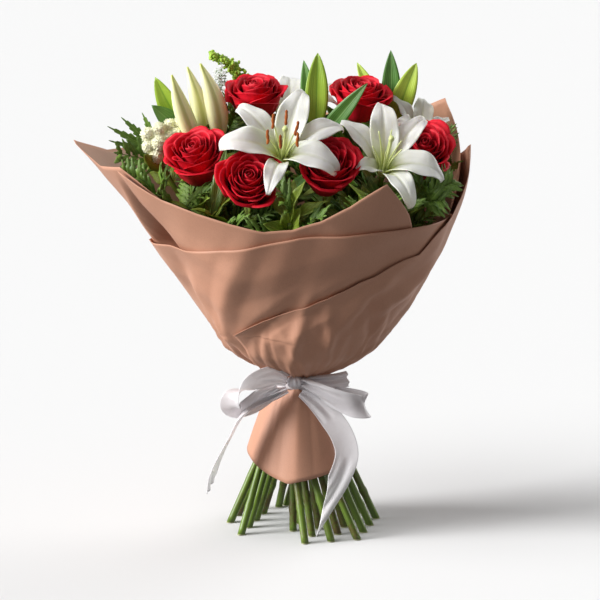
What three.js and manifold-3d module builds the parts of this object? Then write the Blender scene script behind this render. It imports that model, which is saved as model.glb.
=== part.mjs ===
// A hand-tied bouquet: red roses, white lilies and mixed greens on spiralled stems,
// wrapped in brown paper and bound with a white satin ribbon. It stands on its cut stems.
// Units are millimetres, +Z is up, and the floor is z = 0.
import * as THREE from "three";
import { mergeVertices } from "three/addons/utils/BufferGeometryUtils.js";
import Module from "manifold-3d";

const wasm = await Module();
wasm.setup();

// Driving dimensions
const TIE_HEIGHT = 167; // from the floor to the middle of the waist
const SPIRAL = 45; // height over which a stem moves sideways by its own distance from the axis
const STEM_SPACING = 7.55; // between neighbouring stems at the waist
const STEM_LAYERS = 3; // of stems round the middle one
const STEM_FOOT_RADIUS = 4.1;
const STEM_TAPER = 400; // height over which a stem narrows from foot to top
const STEM_TOP_RADIUS = 2.7;
const STEM_SIDES = 5;
const GAP = 0.3; // clearance between pieces that touch
const PAPER = 0.8; // thickness of the wrapping paper
const LAYER = 1.25; // spacing of the paper layers at the waist
const COLUMN = 12; // degrees between the columns of a paper sheet
const SIMPLIFY = 0.2; // details finer than this are smoothed away where pieces are joined
const PETAL = 0.9; // thickness of petals
const ROSE_SCALE = 1.12; // of the petal sizes below
const LILY_TEPAL = 88; // length of a lily's petal
const ROOT_WIDTH = 1.8; // of a leaf where it leaves its stem
const LEAF_KEEL = 1.5; // thickness of a leaf along its middle
const RIBBON_WIDTH = 25;
const RIBBON = 0.9; // thickness of the ribbon
const AXIS_X = 29.2; // place of the waist in the part's frame, so that its box is centred
const AXIS_Y = -7.5;

const FINISH = {
  stem: { color: 0x557a1e, roughness: 0.6 },
  rose: { color: 0xb00d18, roughness: 0.6 },
  lily: { color: 0xf4f3ea, roughness: 0.55 },
  bud: { color: 0xe6e6b4, roughness: 0.55 },
  cream: { color: 0xe4e2bd, roughness: 0.85 },
  paper: { color: 0xb0775a, roughness: 0.8 },
  satin: { color: 0xf1eff0, roughness: 0.35 },
  twine: { color: 0x9c8355, roughness: 0.9 },
};

const vec = (x, y, z) => new THREE.Vector3(x, y, z);
const rad = THREE.MathUtils.degToRad;
const lerp = THREE.MathUtils.lerp;

// Seeded draw between 0 and 1, the same on every run
function seeded(seed) {
  let state = seed;
  return () => {
    state = (state * 16807) % 2147483647;
    return state / 2147483647;
  };
}

// Closed solids

function solid(points, triangles) {
  const vertProperties = new Float32Array(points.length * 3);
  points.forEach((p, i) => p.toArray(vertProperties, i * 3));
  const triVerts = Uint32Array.from(triangles.flat());
  return new wasm.Manifold(new wasm.Mesh({ numProp: 3, vertProperties, triVerts }));
}

function solidOf(geometry) {
  const bare = geometry.clone();
  bare.deleteAttribute("normal");
  bare.deleteAttribute("uv");
  const merged = mergeVertices(bare, 1e-3);
  const vertProperties = Float32Array.from(merged.attributes.position.array);
  const triVerts = Uint32Array.from(merged.index.array);
  return new wasm.Manifold(new wasm.Mesh({ numProp: 3, vertProperties, triVerts }));
}

// Joins pieces and keeps the largest body, so loose scraps go and sealed hollows fill
function fuse(pieces) {
  const bodies = wasm.Manifold.union(pieces).simplify(SIMPLIFY).decompose();
  return bodies.reduce((best, body) => (body.volume() > best.volume() ? body : best));
}

// Rows of rings become a closed skin with flat ends
function loft(rings) {
  const sides = rings[0].length;
  const triangles = [];
  for (let r = 0; r < rings.length - 1; r++) {
    for (let s = 0; s < sides; s++) {
      const a = r * sides + s;
      const b = r * sides + ((s + 1) % sides);
      triangles.push([a, b, b + sides], [a, b + sides, a + sides]);
    }
  }
  const last = (rings.length - 1) * sides;
  for (let s = 1; s < sides - 1; s++) {
    triangles.push([0, s + 1, s], [last, last + s, last + s + 1]);
  }
  return solid(rings.flat(), triangles);
}

// Round bar along a path, with a radius for each point of the path
function bar(path, radii, sides) {
  let across = null;
  const rings = path.map((point, i) => {
    const ahead = path[Math.min(i + 1, path.length - 1)];
    const behind = path[Math.max(i - 1, 0)];
    const along = ahead.clone().sub(behind).normalize();
    const start = across ?? (Math.abs(along.x) < 0.8 ? vec(1, 0, 0) : vec(0, 1, 0));
    across = start.clone().addScaledVector(along, -start.dot(along)).normalize();
    const side = along.clone().cross(across);
    const radius = Array.isArray(radii) ? radii[i] : radii;
    return Array.from({ length: sides }, (_, s) => {
      const turn = (2 * Math.PI * s) / sides;
      return point.clone()
        .addScaledVector(across, radius * Math.cos(turn))
        .addScaledVector(side, radius * Math.sin(turn));
    });
  });
  return loft(rings);
}

// Thin sheet of even thickness about a grid of points, split alike on both faces
function sheet(grid, thickness) {
  const rows = grid.length;
  const columns = grid[0].length;
  const front = [];
  const back = [];
  grid.forEach((row, r) => row.forEach((point, c) => {
    const up = grid[Math.min(r + 1, rows - 1)][c].clone().sub(grid[Math.max(r - 1, 0)][c]);
    const over = row[Math.min(c + 1, columns - 1)].clone().sub(row[Math.max(c - 1, 0)]);
    const normal = over.cross(up).normalize();
    front.push(point.clone().addScaledVector(normal, thickness / 2));
    back.push(point.clone().addScaledVector(normal, -thickness / 2));
  }));
  const offset = front.length;
  const triangles = [];
  const quad = (a, b, c, d) => triangles.push([a, b, c], [a, c, d]);
  for (let r = 0; r < rows - 1; r++) {
    for (let c = 0; c < columns - 1; c++) {
      const a = r * columns + c;
      const b = a + 1;
      const d = a + columns;
      triangles.push([a, b, d + 1], [a, d + 1, d]);
      triangles.push([offset + a, offset + d + 1, offset + b], [offset + a, offset + d, offset + d + 1]);
    }
  }
  for (let c = 0; c < columns - 1; c++) {
    const top = (rows - 1) * columns + c;
    quad(c, c + offset, c + 1 + offset, c + 1);
    quad(top, top + 1, top + 1 + offset, top + offset);
  }
  for (let r = 0; r < rows - 1; r++) {
    const left = r * columns;
    const right = left + columns - 1;
    quad(left, left + columns, left + columns + offset, left + offset);
    quad(right, right + offset, right + columns + offset, right + columns);
  }
  return solid([...front, ...back], triangles);
}

// Leaf blade: a bent strip with a keel along its back, a narrow root and a pointed tip.
// teeth cuts that many notches into each edge.
const LEAF_WIDEST = 0.45; // share of the length from root to tip
const TOOTH_REACH = 0.18; // how far a tooth points forward, as a share of the width
const NOTCH = 0.5; // width left between the teeth
function blade(root, tip, { width, bend, stations = 3, teeth = 0 }) {
  const middle = root.clone().lerp(tip, 0.5).add(bend);
  const curve = new THREE.QuadraticBezierCurve3(root, middle, tip);
  const count = teeth > 0 ? teeth * 2 : stations;
  const lift = bend.clone().normalize();
  const rings = [];
  for (let i = 0; i <= count; i++) {
    const t = i / (count + 1);
    const heading = curve.getTangent(t);
    const side = lift.clone().cross(heading).normalize();
    const face = heading.clone().cross(side).normalize();
    const swell = t < LEAF_WIDEST
      ? Math.sin((Math.PI / 2) * (t / LEAF_WIDEST))
      : Math.cos((Math.PI / 2) * ((t - LEAF_WIDEST) / (1 - LEAF_WIDEST)));
    const tooth = teeth > 0 && i % 2 === 1;
    const half = Math.max((width / 2) * swell * (teeth > 0 && !tooth ? NOTCH : 1), ROOT_WIDTH / 2);
    const centre = curve.getPoint(t);
    const edge = tooth ? heading.clone().multiplyScalar(width * TOOTH_REACH) : vec(0, 0, 0);
    rings.push(
      centre.clone().addScaledVector(side, -half).add(edge),
      centre.clone().addScaledVector(face, -LEAF_KEEL),
      centre.clone().addScaledVector(side, half).add(edge),
    );
  }
  const triangles = [[0, 2, 1]];
  for (let s = 0; s < 3; s++) {
    const next = (s + 1) % 3;
    for (let i = 0; i < count; i++) {
      const a = i * 3 + s;
      const b = i * 3 + next;
      triangles.push([a, b, b + 3], [a, b + 3, a + 3]);
    }
    triangles.push([count * 3 + s, count * 3 + next, rings.length]);
  }
  return solid([...rings, tip.clone()], triangles);
}

// Turns a solid that was made upright at the origin to a place and a facing direction
function placed(body, place, facing, roll = 0, scale = 1) {
  const turn = new THREE.Quaternion().setFromUnitVectors(vec(0, 0, 1), facing.clone().normalize());
  turn.multiply(new THREE.Quaternion().setFromAxisAngle(vec(0, 0, 1), rad(roll)));
  const matrix = new THREE.Matrix4().compose(place, turn, vec(scale, scale, scale));
  return body.transform(matrix.elements);
}

// Roses

// One petal: rises from the base, swells to its belly and ends in a rim that may roll out.
// Its left edge lies inside and its right edge outside, so neighbours lap like tiles.
function rosePetal(turn, layer) {
  const { columns } = layer;
  const grid = layer.stations.map((v) => {
    const row = [];
    for (let c = 0; c <= columns; c++) {
      const u = (2 * c) / columns - 1;
      const spread = lerp(0.45, 1, Math.min(v / 0.75, 1));
      const angle = rad(turn + layer.halfAngle * u * spread);
      const top = layer.height * (1 - layer.shoulder * Math.abs(u) ** 2.2);
      const rolled = Math.max(v - 0.8, 0) / 0.2;
      const swell = (1 - v) ** 2 * layer.root + 2 * v * (1 - v) * layer.belly + v * v * layer.mouth;
      const radius = swell + layer.lap * u * v + layer.roll * rolled * (1 - 0.5 * u * u);
      const height = 1.5 + top * v * (1.25 - 0.25 * v) - layer.roll * 0.9 * rolled ** 2;
      row.push(vec(radius * Math.cos(angle), radius * Math.sin(angle), height));
    }
    return row;
  });
  return sheet(grid, PETAL);
}

// Three petals closed about the heart, three half open and five open with rolled rims
const ROSE_LAYERS = [
  {
    petals: 3, columns: 2, stations: [0, 0.5, 1], start: 0, halfAngle: 68,
    root: 3, belly: 9, mouth: 4.2, height: 46, lap: 1.7, roll: 0, shoulder: 0.1,
  },
  {
    petals: 3, columns: 3, stations: [0, 0.4, 0.8, 1], start: 50, halfAngle: 70,
    root: 5.5, belly: 21, mouth: 12, height: 44, lap: 2.1, roll: 1.5, shoulder: 0.12,
  },
  {
    petals: 5, columns: 3, stations: [0, 0.4, 0.8, 1], start: 20, halfAngle: 45,
    root: 8, belly: 37, mouth: 24, height: 38, lap: 2.2, roll: 6, shoulder: 0.2,
  },
];

// A rose in bloom, upright with its base at the origin
function roseBloom() {
  const core = bar([vec(0, 0, 0), vec(0, 0, 3.5)], [9.5, 10], 6);
  const petals = ROSE_LAYERS.flatMap((layer) => Array.from({ length: layer.petals }, (_, i) => {
    const turn = layer.start + (360 * i) / layer.petals;
    return rosePetal(turn, layer);
  }));
  return fuse([core, ...petals]);
}

// Lilies

// One tepal: its midrib leaves the throat steeply and arches over, and its edges curl up
function lilyTepal({ turn, length, opening, arch, halfWidth, start }) {
  const stations = [0, 0.22, 0.48, 0.78, 1];
  const steps = 40;
  let outward = start;
  let upward = 1;
  const midrib = [[outward, upward, 0]];
  for (let i = 0; i < steps; i++) {
    const s = (i + 0.5) / steps;
    const lean = rad(lerp(opening, arch, s ** 1.5));
    outward += (Math.sin(lean) * length) / steps;
    upward += (Math.cos(lean) * length) / steps;
    midrib.push([outward, upward, lean]);
  }
  const radial = vec(Math.cos(rad(turn)), Math.sin(rad(turn)), 0);
  const across = vec(-radial.y, radial.x, 0);
  const grid = stations.map((s) => {
    const [out, up, lean] = midrib[Math.round(s * steps)];
    const half = 1.6 + (halfWidth - 1.6) * Math.sin(Math.PI * Math.min(s, 0.985) ** 0.95) ** 1.1;
    const inward = radial.clone().multiplyScalar(-Math.cos(lean)).add(vec(0, 0, Math.sin(lean)));
    const centre = radial.clone().multiplyScalar(out).add(vec(0, 0, up));
    return [-1, 0, 1].map((u) => centre.clone()
      .addScaledVector(across, out * Math.sin((half / out) * u))
      .addScaledVector(inward, out * (1 - Math.cos((half / out) * u))));
  });
  return sheet(grid, PETAL);
}

const STAMEN_RING = 2.4; // radius on which the stamens stand
const ANTHER = 15; // length of an anther, which lies across the end of its stamen

function stamen(turn, lean, length, withAnther) {
  const outward = vec(Math.cos(rad(turn)), Math.sin(rad(turn)), 0);
  const aside = outward.clone().multiplyScalar(Math.sin(rad(lean))).add(vec(0, 0, Math.cos(rad(lean))));
  const foot = outward.clone().multiplyScalar(STAMEN_RING).add(vec(0, 0, 5));
  const end = aside.clone().multiplyScalar(length);
  const pieces = [bar([foot, end], [1.1, 0.8], 3)];
  if (withAnther) {
    const half = vec(-aside.y, aside.x, 0.8).normalize().multiplyScalar(ANTHER / 2);
    pieces.push(bar([end.clone().sub(half), end.clone(), end.clone().add(half)], [0.8, 1.7, 0.8], 4));
  }
  return pieces;
}

// Broad and narrow tepals take turns, and the narrow ones stand further out
const LILY_BROAD = { halfWidth: 18, start: 2.4, opening: 24 };
const LILY_NARROW = { halfWidth: 13.5, start: 4.2, opening: 27 };
const PISTIL = 62; // length of the pistil

// A lily in bloom, upright with its base at the origin
function lilyBloom({ tepals, stamens, anthers }) {
  const pieces = [bar([vec(0, 0, 0), vec(0, 0, 6)], [4.6, 6], 6)];
  tepals.forEach(([turn, share, arch], i) => {
    const form = i % 2 === 0 ? LILY_BROAD : LILY_NARROW;
    pieces.push(lilyTepal({ ...form, turn, length: LILY_TEPAL * share, arch }));
  });
  for (let i = 0; i < stamens; i++) {
    const lean = i % 2 === 0 ? 15 : 19;
    pieces.push(...stamen(60 * i + 20, lean, 52 + 3 * (i % 3), anthers));
  }
  pieces.push(bar([vec(0, 0, 4), vec(2, -2, PISTIL - 4), vec(2, -2, PISTIL)], [1.6, 1.4, 2.6], 4));
  return fuse(pieces);
}

// A closed lily bud with three blunt ridges
function lilyBud(length, radius) {
  const sides = 9;
  const heights = [0, 0.08, 0.3, 0.55, 0.8, 0.95, 1];
  const rings = heights.map((t) => {
    const swell = Math.max(Math.sin(Math.PI * Math.min(0.04 + 0.93 * t, 1)) ** 0.7, 0.12);
    return Array.from({ length: sides }, (_, s) => {
      const turn = (2 * Math.PI * s) / sides;
      const reach = radius * swell * (1 + 0.12 * Math.cos(3 * turn));
      return vec(reach * Math.cos(turn), reach * Math.sin(turn), length * t);
    });
  });
  return loft(rings);
}

// Paper wrap

// Distance of the wrap from the axis by height above the tie, up to where its cone starts
const WRAP_PROFILE = [
  [-112, 65], [-85, 56.5], [-60, 48.5], [-30, 37.8], [-12, 28.6], [-2, 26.8],
  [7, 28.8], [14, 40], [22, 59], [36, 79], [60, 97],
];
const CONE_START = 60;
const WRAP_ROWS = [-60, -12, -2, 7, 22, 36, 60];

// Reads a value off a list of [place, value] pairs
function along(list, at) {
  const end = list.findIndex(([place]) => place >= at);
  if (end === 0) return list[0][1];
  if (end < 0) return list[list.length - 1][1];
  const [[a, valueA], [b, valueB]] = [list[end - 1], list[end]];
  return lerp(valueA, valueB, (at - a) / (b - a));
}

// The cone opens widest to the left and right and stands steeper in front and behind
function wrapRadius(turn, height) {
  if (height <= CONE_START) return along(WRAP_PROFILE, height);
  const slope = 0.505 + 0.12 * Math.cos(2 * rad(turn)) - 0.01 * Math.cos(rad(turn));
  return WRAP_PROFILE[WRAP_PROFILE.length - 1][1] + slope * (height - CONE_START);
}

// A point of the wrap, moved off its surface by offset
function onWrap(turn, height, offset) {
  const step = 1;
  const rise = wrapRadius(turn, height + step) - wrapRadius(turn, height - step);
  const length = Math.hypot(rise, 2 * step);
  const radius = wrapRadius(turn, height) + (offset * 2 * step) / length;
  const up = height - (offset * rise) / length;
  return vec(radius * Math.cos(rad(turn)), radius * Math.sin(rad(turn)), TIE_HEIGHT + up);
}

// Each sheet runs between two angles; top and hem give its edges by angle,
// and lean gives how far it stands off the cone at its top edge
const PAPER_SHEETS = {
  paper_back: {
    layer: 0, from: 0, to: 228, rows: 3,
    top: [
      [0, 228], [12, 262], [24, 293], [48, 262], [84, 268], [120, 250], [156, 238],
      [168, 240], [180, 257], [192, 236], [204, 243], [216, 215], [228, 190],
    ],
    hem: [[0, -84], [84, -104], [180, -80], [204, -74], [228, -70]],
    lean: [
      [0, -30], [12, -45], [24, -58], [48, -40], [84, -10], [120, 0],
      [168, 4], [180, 22], [192, 6], [204, -4], [216, -14], [228, -18],
    ],
  },
  paper_front_inner: {
    layer: 1, from: 204, to: 324, rows: 1,
    top: [
      [204, 238], [216, 211], [228, 199], [240, 190], [252, 182.5], [264, 184],
      [276, 193], [288, 208], [300, 233], [312, 197], [324, 150],
    ],
    hem: [[204, -14], [324, -14]],
    lean: [[204, 0], [324, 0]],
  },
  paper_front_outer: {
    layer: 2, from: 168, to: 360, rows: 2,
    top: [
      [168, 150], [200, 156], [220, 156], [244, 164], [259, 171],
      [270, 176], [305, 181], [348, 185], [360, 180],
    ],
    hem: [[168, -78], [204, -86], [259, -106], [312, -94], [360, -88]],
    lean: [[168, 2], [259, 2], [324, 1], [336, -8], [360, -15.2]],
  },
  paper_right: {
    layer: 3, from: 228, to: 420, rows: 3,
    top: [
      [228, 62], [249, 81], [259, 88], [276, 101], [293, 115], [319, 146], [326, 150], [334, 175],
      [343, 193], [352, 232], [360, 256], [372, 240], [390, 222], [408, 195], [420, 170],
    ],
    hem: [[228, -5], [300, -2], [420, -5]],
    lean: [[228, 2], [300, 2], [326, 1], [343, -9], [360, -44], [376, -30], [420, -2]],
  },
};

function paperSheet({ layer, from, to, rows, top, hem, lean }) {
  const turns = Array.from({ length: (to - from) / COLUMN + 1 }, (_, i) => from + i * COLUMN);
  const lowest = Math.max(...hem.map(([, height]) => height));
  const fixed = WRAP_ROWS.filter((height) => height > lowest + 1);
  const columns = turns.map((turn) => {
    const crest = along(top, turn);
    const upper = Array.from({ length: rows }, (_, i) => lerp(CONE_START, crest, (i + 1) / rows));
    return [along(hem, turn), ...fixed, ...upper].map((height) => {
      const above = Math.max(height - CONE_START, 0);
      const stand = along(lean, turn) * (above / Math.max(crest - CONE_START, 1)) ** 3;
      return onWrap(turn, height, LAYER * layer * (1 + above / 90))
        .add(vec(stand * Math.cos(rad(turn)), stand * Math.sin(rad(turn)), 0));
    });
  });
  const grid = columns[0].map((_, row) => columns.map((column) => column[row]));
  return sheet(grid, PAPER);
}

// Ribbon

const RING_SIDES = 18;
const BAND_RADIUS = 32.6;
const BAND_WIDTH = 11;
const BAND_DROP = 9; // from the middle of the waist down to the band's lower edge
const KNOT = vec(-5, -36.8, TIE_HEIGHT - 1);

function strip(points) {
  const grid = points.map(([x, y, z, ax, ay, az, width]) => {
    const centre = vec(x, y, z);
    const across = vec(ax, ay, az).normalize();
    return [-0.5, 0, 0.5].map((u) => centre.clone().addScaledVector(across, u * width));
  });
  return sheet(grid, RIBBON);
}

function ribbonBand() {
  const low = TIE_HEIGHT - BAND_DROP;
  const corners = [
    [BAND_RADIUS, low], [BAND_RADIUS + RIBBON, low],
    [BAND_RADIUS + RIBBON, low + BAND_WIDTH], [BAND_RADIUS, low + BAND_WIDTH], [BAND_RADIUS, low],
  ].map(([x, y]) => new THREE.Vector2(x, y));
  const ring = new THREE.LatheGeometry(corners, RING_SIDES).rotateX(Math.PI / 2);
  const knot = [-8, -5, 0, 3, 5].map((z) => Array.from({ length: 8 }, (_, s) => {
    const turn = (Math.PI * s) / 4;
    const fold = 1 - (z / 14) ** 2 + (s % 2 === 0 ? 0.08 : 0);
    return vec(KNOT.x + 7.5 * fold * Math.cos(turn), KNOT.y + 4.6 * fold * Math.sin(turn), KNOT.z + z);
  }));
  return fuse([solidOf(ring), loft(knot)]);
}

// Each point of a ribbon piece: its place, the direction across it, and its width there
const RIBBON_PIECES = {
  ribbon_loop_left: [
    [-13.5, -40, 170, 0, 0.1, 1, 11],
    [-30, -54, 173, 0.25, -0.2, 1, 23],
    [-48, -60, 165, 0.45, -0.2, 1, RIBBON_WIDTH],
    [-63, -59, 152, 0.6, 0, 1, RIBBON_WIDTH],
    [-72, -53, 146, 0.5, 0.35, 1, RIBBON_WIDTH],
    [-71, -45, 146, 0.5, 0.3, 1, RIBBON_WIDTH],
    [-60, -40, 152, 0.5, 0.1, 1, RIBBON_WIDTH],
    [-45, -38.5, 158, 0.3, 0, 1, 20],
    [-35, -39, 161, 0.1, 0, 1, 12],
  ],
  ribbon_loop_right: [
    [1.2, -40.8, 168, 0, 0.1, 1, 11],
    [20, -50, 160.5, -0.25, -0.1, 1, 19],
    [38, -56, 153, -0.4, -0.1, 1, 24],
    [56, -58, 147, -0.45, 0, 1, RIBBON_WIDTH],
    [69, -53, 144, -0.4, 0.3, 1, RIBBON_WIDTH],
    [70, -44, 145, -0.3, 0.3, 1, RIBBON_WIDTH],
    [58, -40, 150, -0.2, 0.1, 1, 22],
    [44, -38, 156, -0.1, 0, 1, 14],
    [36, -37, 159, 0, 0, 1, 9],
  ],
  ribbon_end_right: [
    [2.3, -39.2, 168, 0, 0.2, 1, 6],
    [16, -37, 168, 0.05, 0.2, 1, 9],
    [30, -34, 167, 0.1, 0.2, 1, 12],
    [42, -29, 167, 0.1, 0.1, 1, 13],
    [53, -22, 168, 0.15, 0.1, 1, 14],
  ],
  ribbon_tail_left: [
    [-14, -38, 160, 0, 0, 1, 8],
    [-38, -43, 149, 0.3, 0.6, 0.6, 14],
    [-60, -49, 134, 0.3, 1, 0.2, 20],
    [-73, -51, 113, 0.2, 1, 0, RIBBON_WIDTH],
    [-85, -53, 90, 0.25, 1, 0, RIBBON_WIDTH],
    [-93, -55, 70, 0.3, 1, 0, RIBBON_WIDTH],
    [-97, -56, 50, 0.2, 1, 0.3, 18],
  ],
  ribbon_tail_right: [
    [1, -41.5, 157, 1, 0, 0.6, 10],
    [16, -45, 147, 1, -0.1, 0.7, 18],
    [34, -48, 129, 1, -0.1, 0.4, RIBBON_WIDTH],
    [46, -51, 110, 1, 0, 0.1, RIBBON_WIDTH],
    [50, -55, 90, 1, 0, -0.2, RIBBON_WIDTH],
    [42, -64, 68, 1, 0.1, -0.5, 23],
    [26, -76, 46, 1, 0.1, -0.7, 20],
    [8, -89, 20, 1, 0.1, -0.9, 12],
  ],
};

// Stems

const SPIN = -1; // seen from above the stems turn clockwise on their way up
const CUP_HEIGHT = 4; // of the swelling under a flower

// Where a stem that passes the tie at a place is, at a height above the tie
function onSpiral(place, height) {
  const k = (SPIN * height) / SPIRAL;
  return vec(place.x - k * place.y, place.y + k * place.x, TIE_HEIGHT + height);
}

// At the waist the stems lie side by side in a honeycomb pattern
const STEM_PLACES = [];
for (let a = -STEM_LAYERS; a <= STEM_LAYERS; a++) {
  for (let b = -STEM_LAYERS; b <= STEM_LAYERS; b++) {
    if (Math.abs(a + b) > STEM_LAYERS) continue;
    const x = STEM_SPACING * (a + b / 2);
    const y = (STEM_SPACING * b * Math.sqrt(3)) / 2;
    STEM_PLACES.push({ x, y, free: true });
  }
}

// Takes the free place at the tie whose stem comes nearest to a point above it
function takePlace(target) {
  const k = (SPIN * (target.z - TIE_HEIGHT)) / SPIRAL;
  const wanted = { x: (target.x + k * target.y) / (1 + k * k), y: (target.y - k * target.x) / (1 + k * k) };
  const away = (place) => Math.hypot(place.x - wanted.x, place.y - wanted.y);
  const best = STEM_PLACES.filter((place) => place.free)
    .reduce((near, place) => (away(place) < away(near) ? place : near));
  best.free = false;
  return best;
}

// Centre line of a stem from just under the floor to its top, which it reaches along facing
function stemPath(place, top, facing) {
  const rise = top.z - TIE_HEIGHT;
  const start = Math.min(rise * 0.45, 110);
  const from = onSpiral(place, start);
  const heading = onSpiral(place, start + 1).sub(onSpiral(place, start)).normalize();
  const reach = from.distanceTo(top) * 0.4;
  const bend = new THREE.CubicBezierCurve3(
    from,
    from.clone().addScaledVector(heading, reach),
    top.clone().addScaledVector(facing, -reach),
    top,
  );
  const foot = onSpiral(place, -TIE_HEIGHT - 6);
  return [foot, ...bend.getPoints(4).slice(0, -1), top.clone().addScaledVector(facing, -CUP_HEIGHT), top];
}

function stemBar(path, topRadius = STEM_TOP_RADIUS) {
  const radii = path.map((p, i) => {
    if (i >= path.length - 2) return topRadius * (i === path.length - 1 ? 1 : 0.85);
    return lerp(STEM_FOOT_RADIUS, STEM_TOP_RADIUS, Math.min(Math.max(p.z, 0) / STEM_TAPER, 1));
  });
  return bar(path, radii, STEM_SIDES).trimByPlane([0, 0, 1], 0);
}

// Flowers: places in millimetres from the bouquet's axis and the floor

const ROSES = [
  { centre: [-112, -46, 408], facing: [-0.3, -0.72, 0.62], roll: 10 },
  { centre: [-53, -96, 390], facing: [0.03, -0.84, 0.54], roll: 40 },
  { centre: [29, -83, 401], facing: [0.05, -0.7, 0.71], roll: 0 },
  { centre: [-48, 15, 466], facing: [-0.05, -0.3, 0.95], roll: 25 },
  { centre: [64, 20, 464], facing: [0.1, -0.3, 0.95], roll: 5 },
  { centre: [134, -27, 413], facing: [0.35, -0.62, 0.7], roll: 30 },
];
const ROSE_DEPTH = 23; // from a rose's base to its middle

// tepals: turn about the flower's axis, share of the full length, how far the tip arches
const LILIES = [
  {
    throat: [-18, -89, 420], facing: [0.02, -0.72, 0.69], stamens: 6, anthers: true,
    tepals: [[72, 1, 115], [24, 1, 150], [-26, 0.98, 160], [-103, 0.86, 125], [180, 1, 150], [135, 1, 140]],
  },
  {
    throat: [87, -78, 406], facing: [0.1, -0.66, 0.74], stamens: 6, anthers: false,
    tepals: [
      [100, 0.95, 110], [40, 0.95, 130], [-20, 0.95, 165],
      [-80, 0.9, 165], [-140, 0.5, 95], [160, 0.66, 105],
    ],
  },
  {
    throat: [-12, 62, 440], facing: [0.05, 0.25, 0.96], stamens: 0, anthers: false,
    tepals: [
      [90, 0.9, 120], [30, 0.9, 110], [-30, 0.9, 90],
      [-90, 0.85, 90], [-150, 0.8, 75], [150, 0.9, 100],
    ],
  },
  {
    throat: [129, 30, 432], facing: [0.3, 0.05, 0.95], stamens: 0, anthers: false,
    tepals: [
      [90, 0.58, 110], [30, 0.46, 90], [-30, 0.46, 90],
      [-90, 0.72, 110], [-150, 0.66, 80], [150, 0.62, 90],
    ],
  },
];
const LILY_DEPTH = 12; // from a lily's base to the place in its throat where the stamens part

const BUDS = [
  { tip: [-136, -5, 494], base: [-109, -5, 416], radius: 9.4 },
  { tip: [-121, 30, 499], base: [-102, 24, 420], radius: 9.4 },
  { tip: [-106, 5, 505], base: [-86, 5, 422], radius: 11 },
];

const items = []; // everything placed so far: { name, finish, body }

function add(name, finish, body) {
  items.push({ name, finish, body, box: body.boundingBox() });
}

function near(a, b, gap) {
  return [0, 1, 2].every((i) => a.min[i] < b.max[i] + gap && b.min[i] < a.max[i] + gap);
}

function clear(body, owner) {
  const box = body.boundingBox();
  return items.every((item) => item.name === owner || !near(box, item.box, GAP)
    || body.minGap(item.body, GAP) >= GAP * 0.99);
}

Object.entries(PAPER_SHEETS).forEach(([name, sizes]) => add(name, FINISH.paper, paperSheet(sizes)));
add("ribbon_band", FINISH.satin, ribbonBand());
Object.entries(RIBBON_PIECES).forEach(([name, points]) => add(name, FINISH.satin, strip(points)));

const roseShape = roseBloom();
ROSES.forEach(({ centre, facing, roll }, i) => {
  const way = vec(...facing).normalize();
  const base = vec(...centre).addScaledVector(way, -ROSE_DEPTH);
  add(`rose_${i + 1}`, FINISH.rose, placed(roseShape, base, way, roll, ROSE_SCALE));
});
LILIES.forEach(({ throat, facing, ...shape }, i) => {
  const way = vec(...facing).normalize();
  const base = vec(...throat).addScaledVector(way, -LILY_DEPTH);
  add(`lily_${i + 1}`, FINISH.lily, placed(lilyBloom(shape), base, way));
});
BUDS.forEach(({ tip, base, radius }, i) => {
  const way = vec(...tip).sub(vec(...base));
  add(`lily_bud_${i + 1}`, FINISH.bud, placed(lilyBud(way.length(), radius), vec(...base), way));
});

// Stems of the roses and lilies, which end just short of the flower

function flowerStem(name, base, facing, topRadius) {
  const top = base.clone().addScaledVector(facing, -GAP);
  const path = stemPath(takePlace(base), top, facing);
  add(name, FINISH.stem, stemBar(path, topRadius));
  return path;
}

const stems = {};
ROSES.forEach(({ centre, facing }, i) => {
  const way = vec(...facing).normalize();
  const base = vec(...centre).addScaledVector(way, -ROSE_DEPTH);
  stems[`rose_stem_${i + 1}`] = flowerStem(`rose_stem_${i + 1}`, base, way, 6);
});
LILIES.forEach(({ throat, facing }, i) => {
  const way = vec(...facing).normalize();
  const base = vec(...throat).addScaledVector(way, -LILY_DEPTH);
  stems[`lily_stem_${i + 1}`] = flowerStem(`lily_stem_${i + 1}`, base, way, 3.6);
});

// Leafy stems and sprays: where each one ends and which way it points there
const GREENS = {
  bud_stem: { top: [-100, 9, 398], facing: [-0.2, 0, 1] },
  cream_stem: { top: [-146, -4, 396], facing: [-0.4, 0.1, 0.9] },
  goldenrod_stem: { top: [-62, 56, 448], facing: [-0.05, 0, 1] },
  sea_lavender_stem: { top: [-84, 42, 428], facing: [0, 0.05, 1] },
  fern_stem_1: { top: [-150, 30, 405], facing: [-0.6, 0.2, 0.75] },
  fern_stem_2: { top: [-150, -62, 372], facing: [-0.7, -0.35, 0.6] },
  fern_stem_3: { top: [158, -5, 400], facing: [0.5, 0, 0.85] },
  fern_stem_4: { top: [128, -68, 372], facing: [0.55, -0.5, 0.65] },
  lily_leaf_stem_1: { top: [17, 14, 440], facing: [0, 0.05, 1] },
  lily_leaf_stem_2: { top: [100, 42, 440], facing: [0.15, 0.1, 1] },
  lily_leaf_stem_3: { top: [-120, 30, 425], facing: [-0.3, 0.1, 0.95] },
  green_stem_1: { top: [-95, -85, 355], facing: [-0.5, -0.45, 0.75] },
  green_stem_2: { top: [-10, -105, 352], facing: [0, -0.6, 0.8] },
  green_stem_3: { top: [70, -98, 356], facing: [0.35, -0.55, 0.75] },
  green_stem_4: { top: [60, 90, 400], facing: [0.3, 0.5, 0.8] },
  green_stem_5: { top: [-70, 90, 400], facing: [-0.3, 0.5, 0.8] },
};
Object.entries(GREENS).forEach(([name, { top, facing }]) => {
  stems[name] = flowerStem(name, vec(...top), vec(...facing).normalize(), STEM_TOP_RADIUS);
});

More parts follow.
